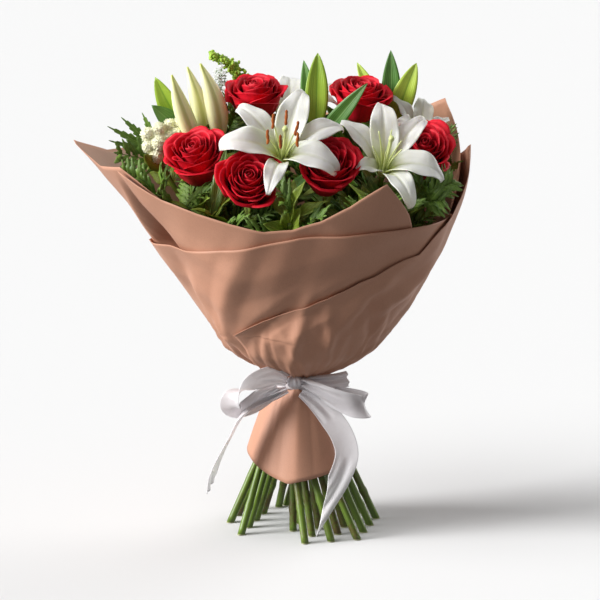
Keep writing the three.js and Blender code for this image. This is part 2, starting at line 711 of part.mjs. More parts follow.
// Adds pieces to the stem that carries them
function graft(name, pieces) {
  const stem = items.find((item) => item.name === name);
  stem.body = fuse([stem.body, ...pieces]);
  stem.box = stem.body.boundingBox();
}

// The point of a stem's centre line at a height above the floor
function pointOn(path, height) {
  const i = Math.max(1, path.findIndex((p) => p.z >= height));
  const share = (height - path[i - 1].z) / (path[i].z - path[i - 1].z);
  return path[i - 1].clone().lerp(path[i], Math.min(share, 1));
}

// Tries a leaf where it is wanted, then turned further and further aside,
// and takes the first one that stays clear of everything else
const ASIDE = [0, 10, -10, 20, -20, 32, -32, 46, -46];
function growLeaf(owner, root, tip, { facing, arch = 0.1, ...options }) {
  const reach = tip.clone().sub(root);
  const level = reach.clone().cross(vec(0, 0, 1)).normalize();
  for (const lift of ASIDE.slice(0, 7)) {
    for (const turn of ASIDE) {
      const way = reach.clone().applyAxisAngle(level, rad(lift)).applyAxisAngle(vec(0, 0, 1), rad(turn));
      const heading = way.clone().normalize();
      const bend = facing.clone().addScaledVector(heading, -facing.dot(heading)).normalize()
        .multiplyScalar(way.length() * arch);
      const leaf = blade(root, root.clone().add(way), { ...options, bend });
      if (clear(leaf, owner)) return leaf;
    }
  }
  return null;
}

// Green sepals turn back under each rose
ROSES.forEach(({ centre, facing }, i) => {
  const way = vec(...facing).normalize();
  const root = vec(...centre).addScaledVector(way, -ROSE_DEPTH - 2.5);
  const first = way.clone().cross(vec(0, 0, 1)).normalize();
  graft(`rose_stem_${i + 1}`, [0, 1, 2, 3, 4].map((k) => {
    const out = first.clone().applyAxisAngle(way, rad(72 * k + 15));
    const foot = root.clone().addScaledVector(out, 3);
    const tip = root.clone().addScaledVector(out, 24).addScaledVector(way, -9);
    return blade(foot, tip, { width: 8, stations: 1, bend: way.clone().multiplyScalar(3) });
  }));
});

// Stalks that carry the buds
graft("bud_stem", BUDS.map(({ tip, base }) => {
  const way = vec(...tip).sub(vec(...base)).normalize();
  const end = vec(...base).addScaledVector(way, -GAP);
  const path = stems.bud_stem;
  return bar([pointOn(path, 385), end.clone().addScaledVector(way, -8), end], [2.2, 2.2, 3], STEM_SIDES);
}));

// The cream head: florets in dense round tufts on a core
const CREAM_TUFTS = [
  [-161, -4, 430], [-149, -3, 436], [-160, -7, 418], [-149, -7, 419], [-139, 5, 437],
  [-158, 7, 422], [-139, 2, 426], [-150, 13, 434],
];
const TUFT_RADIUS = 8;
const CREAM_CORE = { centre: [-150, 2, 426], radius: 12 };
const creamFoot = vec(...GREENS.cream_stem.top);
const creamStalk = [
  creamFoot,
  creamFoot.clone().addScaledVector(vec(...GREENS.cream_stem.facing).normalize(), 8),
  vec(-150, 2, 424),
];

function tuft([x, y, z], radius) {
  return solidOf(new THREE.IcosahedronGeometry(radius, 0)).translate(x, y, z);
}

add("cream_head", FINISH.cream, fuse([
  tuft(CREAM_CORE.centre, CREAM_CORE.radius),
  bar(creamStalk, [2.6, 3, 6], STEM_SIDES),
  ...CREAM_TUFTS.map((place) => tuft(place, TUFT_RADIUS)),
]));

// Sprays: a bending stalk with florets on short twigs to both sides
function spray(path, { florets, reach, size, from }) {
  const curve = new THREE.CatmullRomCurve3(path);
  const pieces = [bar(curve.getPoints(5), [2, 1.8, 1.6, 1.4, 1.2, 0.9], 3)];
  for (let i = 0; i < florets; i++) {
    const t = lerp(from, 1, i / (florets - 1));
    const root = curve.getPoint(t);
    const out = vec(1, 0, 0).applyAxisAngle(vec(0, 0, 1), rad(137 * i)).add(vec(0, 0, 0.9)).normalize();
    const end = root.clone().addScaledVector(out, reach * (1.4 - t));
    const under = end.clone().addScaledVector(out, -size);
    const over = end.clone().addScaledVector(out, size);
    pieces.push(bar([root, under, end, over], [0.8, 0.8, size, 0.6], 3));
  }
  return pieces;
}
const GOLDENROD_PATH = [vec(-62, 56, 444), vec(-63, 56, 468), vec(-74, 53, 492), vec(-98, 48, 512)];
const SEA_LAVENDER_PATH = [vec(-84, 42, 424), vec(-84, 43, 448), vec(-86, 44, 472), vec(-87, 44, 490)];
graft("goldenrod_stem", spray(GOLDENROD_PATH, { florets: 9, reach: 12, size: 3, from: 0.25 }));
graft("sea_lavender_stem", spray(SEA_LAVENDER_PATH, { florets: 8, reach: 17, size: 3, from: 0.3 }));

// Twine that binds the stems, hidden inside the paper
const TWINE_INSIDE = 29.1;
const TWINE_SIZE = 2.2;
const TWINE_DROP = 22; // below the middle of the waist
const twineSection = [[0, -0.5], [0.5, 0], [0, 0.5], [-0.5, 0], [0, -0.5]].map(([x, y]) =>
  new THREE.Vector2(TWINE_INSIDE + TWINE_SIZE * (x + 0.5), TIE_HEIGHT - TWINE_DROP + TWINE_SIZE * y));
const twineRing = new THREE.LatheGeometry(twineSection, RING_SIDES).rotateX(Math.PI / 2);
add("stem_twine", FINISH.twine, solidOf(twineRing));

// Leaves at named tips: stem, height of the root, tip, width and teeth
const NAMED_LEAVES = [
  { stem: "lily_leaf_stem_1", from: 428, tip: [19, 20, 515], width: 20 },
  { stem: "lily_leaf_stem_1", from: 420, tip: [4, 34, 506], width: 15 },
  { stem: "lily_leaf_stem_1", from: 415, tip: [71, -22, 487], width: 15 },
  { stem: "lily_leaf_stem_2", from: 430, tip: [127, 34, 508], width: 18 },
  { stem: "lily_leaf_stem_2", from: 432, tip: [97, 50, 520], width: 15 },
  { stem: "lily_leaf_stem_2", from: 425, tip: [62, 66, 500], width: 14 },
  { stem: "lily_leaf_stem_3", from: 415, tip: [-156, 22, 490], width: 18 },
  { stem: "lily_leaf_stem_3", from: 408, tip: [-160, 2, 462], width: 15 },
  { stem: "fern_stem_1", from: 402, tip: [-208, 6, 438], width: 20, teeth: 3 },
  { stem: "fern_stem_1", from: 404, tip: [-192, 20, 444], width: 20, teeth: 3 },
  { stem: "fern_stem_1", from: 403, tip: [-172, 30, 446], width: 18, teeth: 3 },
  { stem: "fern_stem_1", from: 396, tip: [-196, -12, 416], width: 20, teeth: 3 },
  { stem: "fern_stem_2", from: 370, tip: [-186, -60, 398], width: 20, teeth: 3 },
  { stem: "fern_stem_2", from: 366, tip: [-172, -92, 380], width: 20, teeth: 3 },
  { stem: "fern_stem_2", from: 360, tip: [-140, -105, 372], width: 18, teeth: 3 },
  { stem: "fern_stem_3", from: 398, tip: [182, -8, 430], width: 18, teeth: 3 },
  { stem: "fern_stem_3", from: 392, tip: [186, -18, 408], width: 18, teeth: 3 },
  { stem: "fern_stem_3", from: 396, tip: [170, 12, 444], width: 16, teeth: 3 },
  { stem: "fern_stem_4", from: 370, tip: [166, -52, 392], width: 20, teeth: 3 },
  { stem: "fern_stem_4", from: 366, tip: [150, -84, 372], width: 20, teeth: 3 },
  { stem: "fern_stem_4", from: 358, tip: [118, -102, 366], width: 18, teeth: 3 },
];

// Leaves that fill a stem by rule: how many, between which heights, how long and wide
const LEAFY_STEMS = {
  rose_stem_1: { leaves: 2, low: 345, high: 372, length: 52, width: 26 },
  rose_stem_2: { leaves: 2, low: 325, high: 350, length: 46, width: 24 },
  rose_stem_3: { leaves: 2, low: 330, high: 356, length: 46, width: 24 },
  rose_stem_4: { leaves: 2, low: 380, high: 420, length: 55, width: 28 },
  rose_stem_5: { leaves: 2, low: 380, high: 420, length: 55, width: 28 },
  rose_stem_6: { leaves: 2, low: 345, high: 378, length: 50, width: 26 },
  green_stem_1: { leaves: 3, low: 325, high: 352, length: 46, width: 20 },
  green_stem_2: { leaves: 3, low: 318, high: 348, length: 42, width: 20 },
  green_stem_3: { leaves: 3, low: 325, high: 352, length: 44, width: 20 },
  green_stem_4: { leaves: 4, low: 340, high: 398, length: 68, width: 28 },
  green_stem_5: { leaves: 4, low: 340, high: 398, length: 68, width: 28 },
};

const TO_FRONT = vec(0, -1, 0.3);
const grown = {};
function keepLeaf(name, leaf) {
  if (leaf === null) return;
  grown[name] = [...(grown[name] ?? []), leaf];
  items.push({ name, body: leaf, box: leaf.boundingBox(), part: true });
}

NAMED_LEAVES.forEach(({ stem, from, tip, ...options }) => {
  const root = pointOn(stems[stem], from);
  keepLeaf(stem, growLeaf(stem, root, vec(...tip), { facing: TO_FRONT, ...options }));
});

const draw = seeded(7);
Object.entries(LEAFY_STEMS).forEach(([name, { leaves, low, high, length, width, rise = 50 }]) => {
  for (let i = 0; i < leaves; i++) {
    const share = leaves === 1 ? 0.5 : i / (leaves - 1);
    const root = pointOn(stems[name], lerp(low, high, share));
    const outward = Math.atan2(root.y, root.x) + rad(lerp(-75, 75, share) + 20 * (draw() - 0.5));
    const steep = rad(rise + 20 * (draw() - 0.5));
    const level = vec(Math.cos(outward), Math.sin(outward), 0);
    const way = level.clone().multiplyScalar(Math.cos(steep)).add(vec(0, 0, Math.sin(steep)));
    const tip = root.clone().addScaledVector(way, length * (0.9 + 0.2 * draw()));
    const facing = vec(root.x, root.y, 0).normalize().add(vec(0, 0, 0.5));
    keepLeaf(name, growLeaf(name, root, tip, { width, facing, stations: 2 }));
  }
});
Object.entries(grown).forEach(([name, leaves]) => graft(name, leaves));

const bouquet = new THREE.Group();
bouquet.position.set(AXIS_X, AXIS_Y, 0);
items.filter((item) => !item.part).forEach(({ name, finish, body }) => {
  const { vertProperties, triVerts } = body.getMesh();
  const geometry = new THREE.BufferGeometry();
  geometry.setAttribute("position", new THREE.BufferAttribute(new Float32Array(vertProperties), 3));
  geometry.setIndex(new THREE.BufferAttribute(new Uint32Array(triVerts), 1));
  const mesh = new THREE.Mesh(geometry, new THREE.MeshStandardMaterial({ ...finish, metalness: 0 }));
  mesh.name = name;
  bouquet.add(mesh);
});

export default bouquet;
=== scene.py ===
# Looks of a hand-tied bouquet: finer petals, leaves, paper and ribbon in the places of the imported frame
import bpy
import numpy as np
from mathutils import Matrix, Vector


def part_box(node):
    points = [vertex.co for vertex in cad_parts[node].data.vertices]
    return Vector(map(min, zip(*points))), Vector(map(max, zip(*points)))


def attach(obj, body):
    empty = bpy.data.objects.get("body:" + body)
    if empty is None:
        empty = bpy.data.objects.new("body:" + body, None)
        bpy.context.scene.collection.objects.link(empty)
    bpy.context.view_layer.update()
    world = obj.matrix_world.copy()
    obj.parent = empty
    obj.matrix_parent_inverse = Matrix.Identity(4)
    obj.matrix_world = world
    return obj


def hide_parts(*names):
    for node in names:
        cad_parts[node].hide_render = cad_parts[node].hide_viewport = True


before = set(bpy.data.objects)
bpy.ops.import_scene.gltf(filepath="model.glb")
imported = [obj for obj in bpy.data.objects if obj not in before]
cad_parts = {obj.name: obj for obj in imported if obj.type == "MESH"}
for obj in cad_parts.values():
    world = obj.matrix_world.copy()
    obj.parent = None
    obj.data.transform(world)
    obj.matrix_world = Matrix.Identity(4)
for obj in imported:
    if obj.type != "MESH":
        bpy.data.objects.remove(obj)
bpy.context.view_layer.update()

# Places below are in millimetres from the bouquet's axis and the floor, +Z up, -Y to the front
twineLow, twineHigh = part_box("stem_twine")
axis = np.array([(twineLow.x + twineHigh.x) * 500, (twineLow.y + twineHigh.y) * 500, 0])
metre = 0.001
tieHeight = 167
goldenTurn = 137.5  # degrees from one petal, leaf or twig to the next
draw = np.random.default_rng(11)


def unit(vectors):
    # Vectors scaled to length one
    vectors = np.asarray(vectors, float)
    return vectors / np.maximum(np.linalg.norm(vectors, axis=-1, keepdims=True), 1e-9)


def vector(*values):
    return np.array(values, float)


def smooth(low, high, value):
    # Rises from 0 to 1 between low and high with level ends
    share = np.clip((value - low) / (high - low), 0, 1)
    return share * share * (3 - 2 * share)


def fullTurn(count):
    # Angles once round, in radians
    return np.linspace(0, 2 * np.pi, count, endpoint=False)


def downRows(count):
    # Even steps from 0 to 1 along the rows of a grid
    return np.linspace(0, 1, count)[None, :, None]


def overColumns(count):
    # Even steps from -1 to 1 across the columns of a grid
    return np.linspace(-1, 1, count)[None, None, :]


def around(out, angle, height, aside=0):
    # Points out from the +Z axis and aside, turned about it by an angle in radians, at a height
    x = out * np.cos(angle) - aside * np.sin(angle)
    y = out * np.sin(angle) + aside * np.cos(angle)
    return np.stack(np.broadcast_arrays(x, y, height), axis=-1)


def climbed(lean, step):
    # How far out and up each row starts, where every step leans from +Z by an angle in radians
    out, up = np.sin(lean) * step, np.cos(lean) * step
    return np.cumsum(out, axis=1) - out, np.cumsum(up, axis=1) - up


def bentLine(one, two, three, t):
    # Quadratic curve from one to three, drawn towards two
    return (1 - t) ** 2 * one + 2 * (1 - t) * t * two + t ** 2 * three


def turned(facing, roll=0.0):
    # Rotation that takes +Z to facing by the shortest way, after a roll about +Z in degrees
    x, y, z = unit(facing)
    cross = np.array([[0, 0, x], [0, 0, y], [-x, -y, 0]])
    tilt = np.eye(3) + cross + cross @ cross / (1 + z)
    c, s = np.cos(np.radians(roll)), np.sin(np.radians(roll))
    return tilt @ np.array([[c, -s, 0], [s, c, 0], [0, 0, 1]])


def frames(directions, rolls):
    # One rotation for each direction: third column along it, rolled about it, angles in radians
    third = unit(directions)
    aside = np.where(np.abs(third[:, 2:3]) < 0.9, vector(0, 0, 1), vector(1, 0, 0))
    first = unit(np.cross(aside, third))
    second = np.cross(third, first)
    c, s = np.cos(rolls)[:, None], np.sin(rolls)[:, None]
    return np.stack([first * c + second * s, second * c - first * s, third], axis=-1)


# Meshes

def part(points, faces, form, material=0):
    # One lump of mesh: points, faces of three or four corners, and across, along and tint for each point
    points, form = points.reshape(-1, 3), form.reshape(-1, 3)
    return {"points": points, "faces": faces, "form": form, "material": material}


def formOf(shape, tint):
    # Across 0 to 1 over the columns, along 0 to 1 over the rows, and a tint for each grid
    count, rows, columns = shape
    form = np.zeros((count, rows, columns, 3))
    form[..., 0] = np.linspace(0, 1, columns)
    form[..., 1] = np.linspace(0, 1, rows)[:, None]
    form[..., 2] = np.broadcast_to(np.asarray(tint, float).reshape(-1, 1, 1), (count, rows, columns))
    return form


def shells(grids, thickness, tint=0.5, material=0):
    # Closed thin shells: each grid is moved half its thickness both ways along the cross product
    # of its two directions, and the two faces are joined round the edge
    count, rows, columns, _ = grids.shape
    normal = unit(np.cross(np.gradient(grids, axis=2), np.gradient(grids, axis=1)))
    half = np.asarray(thickness) / 2
    points = np.stack([grids + normal * half, grids - normal * half], axis=1)
    place = np.arange(points.size // 3).reshape(count, 2, rows, columns)
    front, back = place[:, 0], place[:, 1]

    def quads(a, b, c, d):
        return np.stack([a.ravel(), b.ravel(), c.ravel(), d.ravel()], axis=-1)

    faces = np.concatenate([
        quads(front[:, :-1, :-1], front[:, :-1, 1:], front[:, 1:, 1:], front[:, 1:, :-1]),
        quads(back[:, :-1, :-1], back[:, 1:, :-1], back[:, 1:, 1:], back[:, :-1, 1:]),
        quads(front[:, 0, :-1], back[:, 0, :-1], back[:, 0, 1:], front[:, 0, 1:]),
        quads(front[:, -1, :-1], front[:, -1, 1:], back[:, -1, 1:], back[:, -1, :-1]),
        quads(front[:, :-1, 0], front[:, 1:, 0], back[:, 1:, 0], back[:, :-1, 0]),
        quads(front[:, :-1, -1], back[:, :-1, -1], back[:, 1:, -1], front[:, 1:, -1]),
    ])
    form = np.repeat(formOf((count, rows, columns), tint)[:, None], 2, axis=1)
    return part(points, [faces], form, material)


def closedRings(rings, lowEnds, highEnds, tint=0.5, material=0, endAcross=0):
    # Closed bars: quads from ring to ring, and at each end a fan to the given middle point
    count, stations, sides, _ = rings.shape
    place = np.arange(rings.size // 3).reshape(count, stations, sides)
    after = np.roll(place, -1, axis=2)
    quads = np.stack([place[:, :-1], after[:, :-1], after[:, 1:], place[:, 1:]], axis=-1).reshape(-1, 4)
    low = place.size + np.arange(count)[:, None].repeat(sides, 1)
    caps = np.concatenate([
        np.stack([low, after[:, 0], place[:, 0]], axis=-1).reshape(-1, 3),
        np.stack([low + count, place[:, -1], after[:, -1]], axis=-1).reshape(-1, 3),
    ])
    body = formOf((count, stations, sides), tint).reshape(-1, 3)
    ends = formOf((count, 2, 1), tint)
    ends[..., 0] = endAcross
    points = np.concatenate([rings.reshape(-1, 3), lowEnds, highEnds])
    return part(points, [quads, caps], np.concatenate([body, ends[:, 0, 0], ends[:, 1, 0]]), material)


def tubes(paths, radii, sides, tint=0.5, material=0, across=None, level=False):
    # Round bars: a circle carried along each path, its radius given at each point, with closed ends.
    # level cuts the first ring off flat at the floor
    along = unit(np.gradient(paths, axis=1))
    if across is None:
        chord = np.abs(paths[:, -1] - paths[:, 0])
        across = np.eye(3)[np.argmin(chord, axis=1)]
    across = unit(np.cross(np.broadcast_to(across[:, None], along.shape), along))
    aside = np.cross(along, across)
    turn = fullTurn(sides)[:, None]
    reach = np.broadcast_to(radii, paths.shape[:2])[..., None, None]
    rings = paths[:, :, None] + (across[:, :, None] * np.cos(turn) + aside[:, :, None] * np.sin(turn)) * reach
    foot = paths[:, 0]
    if level:
        slide = rings[:, 0, :, 2:3] / along[:, 0, None, 2:3]
        rings[:, 0] -= along[:, 0, None] * slide
        foot = rings[:, 0].mean(axis=1)
    return closedRings(rings, foot, paths[:, -1], tint, material)


def copies(shape, places, rotations, sizes, tint):
    # Repeats of one small shape: its points turned, scaled and moved to each place
    points = np.einsum("nij,pj->npi", rotations, shape["points"]) * np.reshape(sizes, (-1, 1, 1))
    points = points + places[:, None]
    shift = np.arange(len(places))[:, None, None] * len(shape["points"])
    faces = [(face[None] + shift).reshape(-1, face.shape[1]) for face in shape["faces"]]
    form = np.repeat(shape["form"][None], len(places), axis=0)
    form[..., 2] = tint[:, None]
    return part(points, faces, form)


def moved(lump, rotation, place, size=1.0):
    # The same lump turned, scaled and moved
    return {**lump, "points": lump["points"] @ np.array(rotation).T * size + place}


def newObject(name, data):
    # An object of the data, in the scene
    holder = bpy.data.objects.new(name, data)
    bpy.context.scene.collection.objects.link(holder)
    return holder


def makePiece(name, lumps, kinds, nodes):
    # Joins lumps in one object at the origin, which rides on the frame and stands for its nodes.
    # A lump's material is the place of its finish in kinds
    points = np.concatenate([lump["points"] for lump in lumps])
    form = np.concatenate([lump["form"] for lump in lumps])
    starts = np.cumsum([0] + [len(lump["points"]) for lump in lumps])
    faces, slots = [], []
    for lump, start in zip(lumps, starts):
        for block in lump["faces"]:
            faces.append(block + start)
            slots.append(np.full(len(block), lump["material"]))
    corners = np.concatenate([block.ravel() for block in faces])
    lengths = np.concatenate([np.full(len(block), block.shape[1]) for block in faces])
    mesh = bpy.data.meshes.new(name)
    mesh.vertices.add(len(points))
    mesh.vertices.foreach_set("co", ((points + axis) * metre).astype(np.float32).ravel())
    mesh.loops.add(len(corners))
    mesh.loops.foreach_set("vertex_index", corners.astype(np.int32))
    mesh.polygons.add(len(lengths))
    mesh.polygons.foreach_set("loop_start", (np.cumsum(lengths) - lengths).astype(np.int32))
    mesh.polygons.foreach_set("material_index", np.concatenate(slots).astype(np.int32))
    mesh.polygons.foreach_set("use_smooth", np.ones(len(lengths), bool))
    mesh.update(calc_edges=True)
    mesh.validate()
    attribute = mesh.attributes.new("form", "FLOAT_VECTOR", "POINT")
    attribute.data.foreach_set("vector", form.astype(np.float32).ravel())
    for kind in kinds:
        mesh.materials.append(finishes[kind])
    piece = newObject(name, mesh)
    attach(piece, "root")
    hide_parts(*nodes)
    return piece


# Shader helpers

def tone(code):
    # Hex colour to the linear values that a shader takes
    parts = np.array([int(code[i:i + 2], 16) for i in (1, 3, 5)]) / 255
    linear = np.where(parts <= 0.04045, parts / 12.92, ((parts + 0.055) / 1.055) ** 2.4)
    return (*linear, 1.0)


def put(tree, socket, value):
    # Links a socket to the value, or sets it; a hex colour is turned into linear values
    if isinstance(value, bpy.types.NodeSocket):
        tree.links.new(value, socket)
    else:
        socket.default_value = tone(value) if isinstance(value, str) else value


def mathNode(tree, operation, *values, clamp=False):
    # One step of a formula, kept between 0 and 1 if it is clamped
    node = tree.nodes.new("ShaderNodeMath")
    node.operation = operation
    node.use_clamp = clamp
    for socket, value in zip(node.inputs, values):
        put(tree, socket, value)
    return node.outputs[0]


def times(tree, one, two):
    return mathNode(tree, "MULTIPLY", one, two)


def minus(tree, one, two):
    return mathNode(tree, "SUBTRACT", one, two)


def mixNode(tree, factor, low, high):
    # Colour between low and high
    node = tree.nodes.new("ShaderNodeMix")
    node.data_type = "RGBA"
    put(tree, node.inputs[0], factor)
    put(tree, node.inputs[6], low)
    put(tree, node.inputs[7], high)
    return node.outputs[2]


def rampNode(tree, value, low, high):
    # Maps low to high onto 0 to 1, smoothly and clamped
    node = tree.nodes.new("ShaderNodeMapRange")
    node.interpolation_type = "SMOOTHSTEP"
    put(tree, node.inputs["Value"], value)
    node.inputs["From Min"].default_value = low
    node.inputs["From Max"].default_value = high
    return node.outputs["Result"]


def noiseNode(tree, vectorSocket, scale, detail=3.0, roughness=0.5):
    # Soft noise about a half
    node = tree.nodes.new("ShaderNodeTexNoise")
    put(tree, node.inputs["Vector"], vectorSocket)
    put(tree, node.inputs["Scale"], scale)
    put(tree, node.inputs["Detail"], detail)
    node.inputs["Roughness"].default_value = roughness
    return node.outputs["Fac"]


def formNode(tree):
    # Across, along and tint of the piece's own surface
    attribute = tree.nodes.new("ShaderNodeAttribute")
    attribute.attribute_name = "form"
    split = tree.nodes.new("ShaderNodeSeparateXYZ")
    tree.links.new(attribute.outputs["Vector"], split.inputs[0])
    return split.outputs


def placeNode(tree, x, y, z):
    node = tree.nodes.new("ShaderNodeCombineXYZ")
    for socket, value in zip(node.inputs, (x, y, z)):
        put(tree, socket, value)
    return node.outputs[0]


def bumpNode(tree, height, strength, distance):
    node = tree.nodes.new("ShaderNodeBump")
    put(tree, node.inputs["Height"], height)
    node.inputs["Strength"].default_value = strength
    node.inputs["Distance"].default_value = distance
    return node.outputs["Normal"]


def newGroup(name, inputs, outputs):
    # A node group with named inputs, their values as a start, and named outputs
    group = bpy.data.node_groups.new(name, "ShaderNodeTree")
    for label, value in inputs.items():
        socket = group.interface.new_socket(name=label, in_out="INPUT", socket_type="NodeSocketFloat")
        socket.default_value = value
    for label in outputs:
        group.interface.new_socket(name=label, in_out="OUTPUT", socket_type="NodeSocketFloat")
    entry, leave = group.nodes.new("NodeGroupInput"), group.nodes.new("NodeGroupOutput")
    return group, entry.outputs, leave.inputs


def useGroup(tree, group, **values):
    node = tree.nodes.new("ShaderNodeGroup")
    node.node_tree = group
    for label, value in values.items():
        put(tree, node.inputs[label], value)
    return node.outputs


def mottleGroup():
    # Uneven colour in space: coarse noise plus a share of fine noise, spread by contrast about a half
    group, entry, leave = newGroup("plantMottle", {"Scale": 60, "Fine": 0.3, "Contrast": 1.5}, ["Mask"])
    place = group.nodes.new("ShaderNodeTexCoord").outputs["Object"]
    coarse = noiseNode(group, place, entry["Scale"])
    fine = noiseNode(group, place, times(group, entry["Scale"], 9))
    total = mathNode(group, "MULTIPLY_ADD", minus(group, fine, 0.5), entry["Fine"], coarse)
    away = minus(group, total, 0.5)
    put(group, leave["Mask"], mathNode(group, "MULTIPLY_ADD", away, entry["Contrast"], 0.5, clamp=True))
    return group


def streakGroup():
    # Streaks along a surface: noise over its across and its along, each stretched, and over its tint
    group, entry, leave = newGroup("streaks", {"Across": 26, "Along": 3, "Detail": 3}, ["Mask"])
    across, lengthwise, tint = formNode(group)
    across = times(group, across, entry["Across"])
    lengthwise = times(group, lengthwise, entry["Along"])
    place = placeNode(group, across, lengthwise, tint)
    put(group, leave["Mask"], noiseNode(group, place, 1.0, entry["Detail"]))
    return group


def veinGroup():
    # Midrib: a narrow bell about the middle of the blade. Side veins: a sine of the length less a
    # slanted share of the distance from the midrib. Streaks: a sine across the blade
    group, entry, leave = newGroup(
        "leafVeins", {"Count": 14, "Slant": 7, "Streaks": 0, "Rib Width": 0.05}, ["Rib", "Veins"])
    across, lengthwise, _ = formNode(group)
    away = mathNode(group, "ABSOLUTE", minus(group, across, 0.5))
    rib = mathNode(group, "DIVIDE", away, entry["Rib Width"])
    square = times(group, rib, rib)
    put(group, leave["Rib"], mathNode(group, "POWER", 2.718, times(group, square, -1)))
    slanted = times(group, away, entry["Slant"])
    phase = minus(group, times(group, lengthwise, entry["Count"]), slanted)
    lines = times(group, times(group, across, entry["Streaks"]), 6.283)
    wave = mathNode(group, "SINE", mathNode(group, "MULTIPLY_ADD", phase, 6.283, lines))
    half = mathNode(group, "MULTIPLY_ADD", wave, 0.5, 0.5)
    put(group, leave["Veins"], mathNode(group, "POWER", half, 4))
    return group


mottle = mottleGroup()
streaks = streakGroup()
leafVeins = veinGroup()

tones = {
    # rose: a shaded and a lit copy of one red, which the petals mix as painted shade and painted highlight
    "rose": {"shadedRed": "#8c0416", "rim": "#e4122c", "sheen": "#ff5060"},
    "lily": {"shade": "#d6d7c6", "white": "#e3e4d9", "throat": "#c5d078"},
    "bud": {"shade": "#e7e6a0", "cream": "#f6f4cc", "seam": "#b7c25a"},
    "stem": {"dark": "#263e0a", "light": "#809e2e", "brown": "#5a4020", "cut": "#cdd19a"},
    "paper": {"dark": "#b68268", "light": "#c59379", "speck": "#8e6a57"},
    "satin": {"shade": "#d3ced2", "white": "#e6e2e5"},
}


def newMaterial(name, roughness, **constants):
    # A surface of even roughness, with other inputs of its shader set by name
    material = bpy.data.materials.new(name)
    material.use_nodes = True
    tree = material.node_tree
    for label, value in {"Roughness": roughness, **constants}.items():
        put(tree, tree.nodes["Principled BSDF"].inputs[label], value)
    return material, tree


def translucent(weight, *radius):
    # Light that goes into petals and cloth: its share, and how far each colour gets, in metres
    return {"Subsurface Weight": weight, "Subsurface Radius": radius, "Subsurface Scale": 1.0}


def dressed(material, colour, height, strength, distance):
    # The material with its colour and the relief of a height
    tree = material.node_tree
    shader = tree.nodes["Principled BSDF"].inputs
    put(tree, shader["Base Color"], colour)
    put(tree, shader["Normal"], bumpNode(tree, height, strength, distance))
    return material


def leafMaterial(name, dark, light, rib, veins, roughness, ribShare=0.7, relief=0.35):
    # Mottled green, lighter with the tint, with a midrib and side veins that are sunk in
    material, tree = newMaterial(name, roughness)
    patch = useGroup(tree, mottle, Scale=55, Fine=0.4, Contrast=1.3)["Mask"]
    lighter = times(tree, formNode(tree)[2], 0.55)
    share = mathNode(tree, "MULTIPLY_ADD", patch, 0.55, lighter, clamp=True)
    pattern = useGroup(tree, leafVeins, **dict(zip(("Count", "Slant", "Streaks", "Rib Width"), veins)))
    colour = mixNode(tree, share, dark, light)
    colour = mixNode(tree, times(tree, pattern["Veins"], 0.22), colour, rib)
    colour = mixNode(tree, times(tree, pattern["Rib"], ribShare), colour, rib)
    height = minus(tree, times(tree, pattern["Veins"], -0.5), pattern["Rib"])
    return dressed(material, colour, height, relief, 0.0006)


def rosePetalMaterial():
    # Painted shade and painted highlight: a shaded and a lit copy of one red, darker at each petal's root and
    # lighter to its rim and with its tint; the streaks along each petal are its own uneven tone
    colours = tones["rose"]
    material, tree = newMaterial("rosePetal", 0.6, **{
        "Specular IOR Level": 0.3, "Sheen Weight": 0.1, "Sheen Roughness": 0.5,
        "Sheen Tint": colours["sheen"]})
    _, lengthwise, tint = formNode(tree)
    streak = useGroup(tree, streaks, Across=26, Along=3)["Mask"]
    # painted highlight towards each petal's rim and painted shade at its root, plus painted shade on the
    # inner petals by their low tint
    rim = rampNode(tree, lengthwise, 0.35, 1.0)
    light = mathNode(tree, "MULTIPLY_ADD", rim, 0.32, times(tree, tint, 0.6))
    share = mathNode(tree, "MULTIPLY_ADD", minus(tree, streak, 0.5), 0.7, light, clamp=True)
    return dressed(material, mixNode(tree, share, colours["shadedRed"], colours["rim"]), streak, 0.25, 0.0005)


def lilyPetalMaterial():
    # White, green in the throat and along the midrib
    colours = tones["lily"]
    material, tree = newMaterial("lilyPetal", 0.48, **translucent(0.8, 0.004, 0.004, 0.003))
    across, lengthwise, _ = formNode(tree)
    away = mathNode(tree, "ABSOLUTE", minus(tree, across, 0.5))
    throat = rampNode(tree, lengthwise, 0.42, 0.06)
    rib = times(tree, rampNode(tree, away, 0.09, 0.0), rampNode(tree, lengthwise, 0.95, 0.2))
    green = mathNode(tree, "MULTIPLY_ADD", rib, 0.35, throat, clamp=True)
    streak = useGroup(tree, streaks, Across=34, Along=2.5)["Mask"]
    white = mixNode(tree, streak, colours["shade"], colours["white"])
    return dressed(material, mixNode(tree, green, white, colours["throat"]), streak, 0.3, 0.0007)


def budMaterial():
    # Cream, green at both ends and in the three seams
    colours = tones["bud"]
    material, tree = newMaterial("lilyBud", 0.45, **translucent(0.6, 0.006, 0.006, 0.004))
    across, lengthwise, _ = formNode(tree)
    seam = rampNode(tree, mathNode(tree, "COSINE", times(tree, across, 18.85)), -0.35, -1.0)
    ends = mathNode(tree, "ADD", rampNode(tree, lengthwise, 0.2, 0.0), rampNode(tree, lengthwise, 0.86, 1.0))
    streak = useGroup(tree, streaks, Across=40, Along=3)["Mask"]
    cream = mixNode(tree, streak, colours["shade"], colours["cream"])
    ends = times(tree, ends, 0.6)
    share = mathNode(tree, "ADD", times(tree, seam, 0.5), ends, clamp=True)
    height = minus(tree, streak, seam)
    return dressed(material, mixNode(tree, share, cream, colours["seam"]), height, 0.3, 0.0008)


def plainPlantMaterial(name, dark, light, scale, roughness, relief=0.3):
    # Mottled between two tones, lighter with the tint
    material, tree = newMaterial(name, roughness)
    patch = useGroup(tree, mottle, Scale=scale, Fine=0.5, Contrast=1.6)["Mask"]
    lighter = times(tree, formNode(tree)[2], 0.4)
    share = mathNode(tree, "MULTIPLY_ADD", patch, 0.6, lighter, clamp=True)
    return dressed(material, mixNode(tree, share, dark, light), patch, relief, 0.0006)


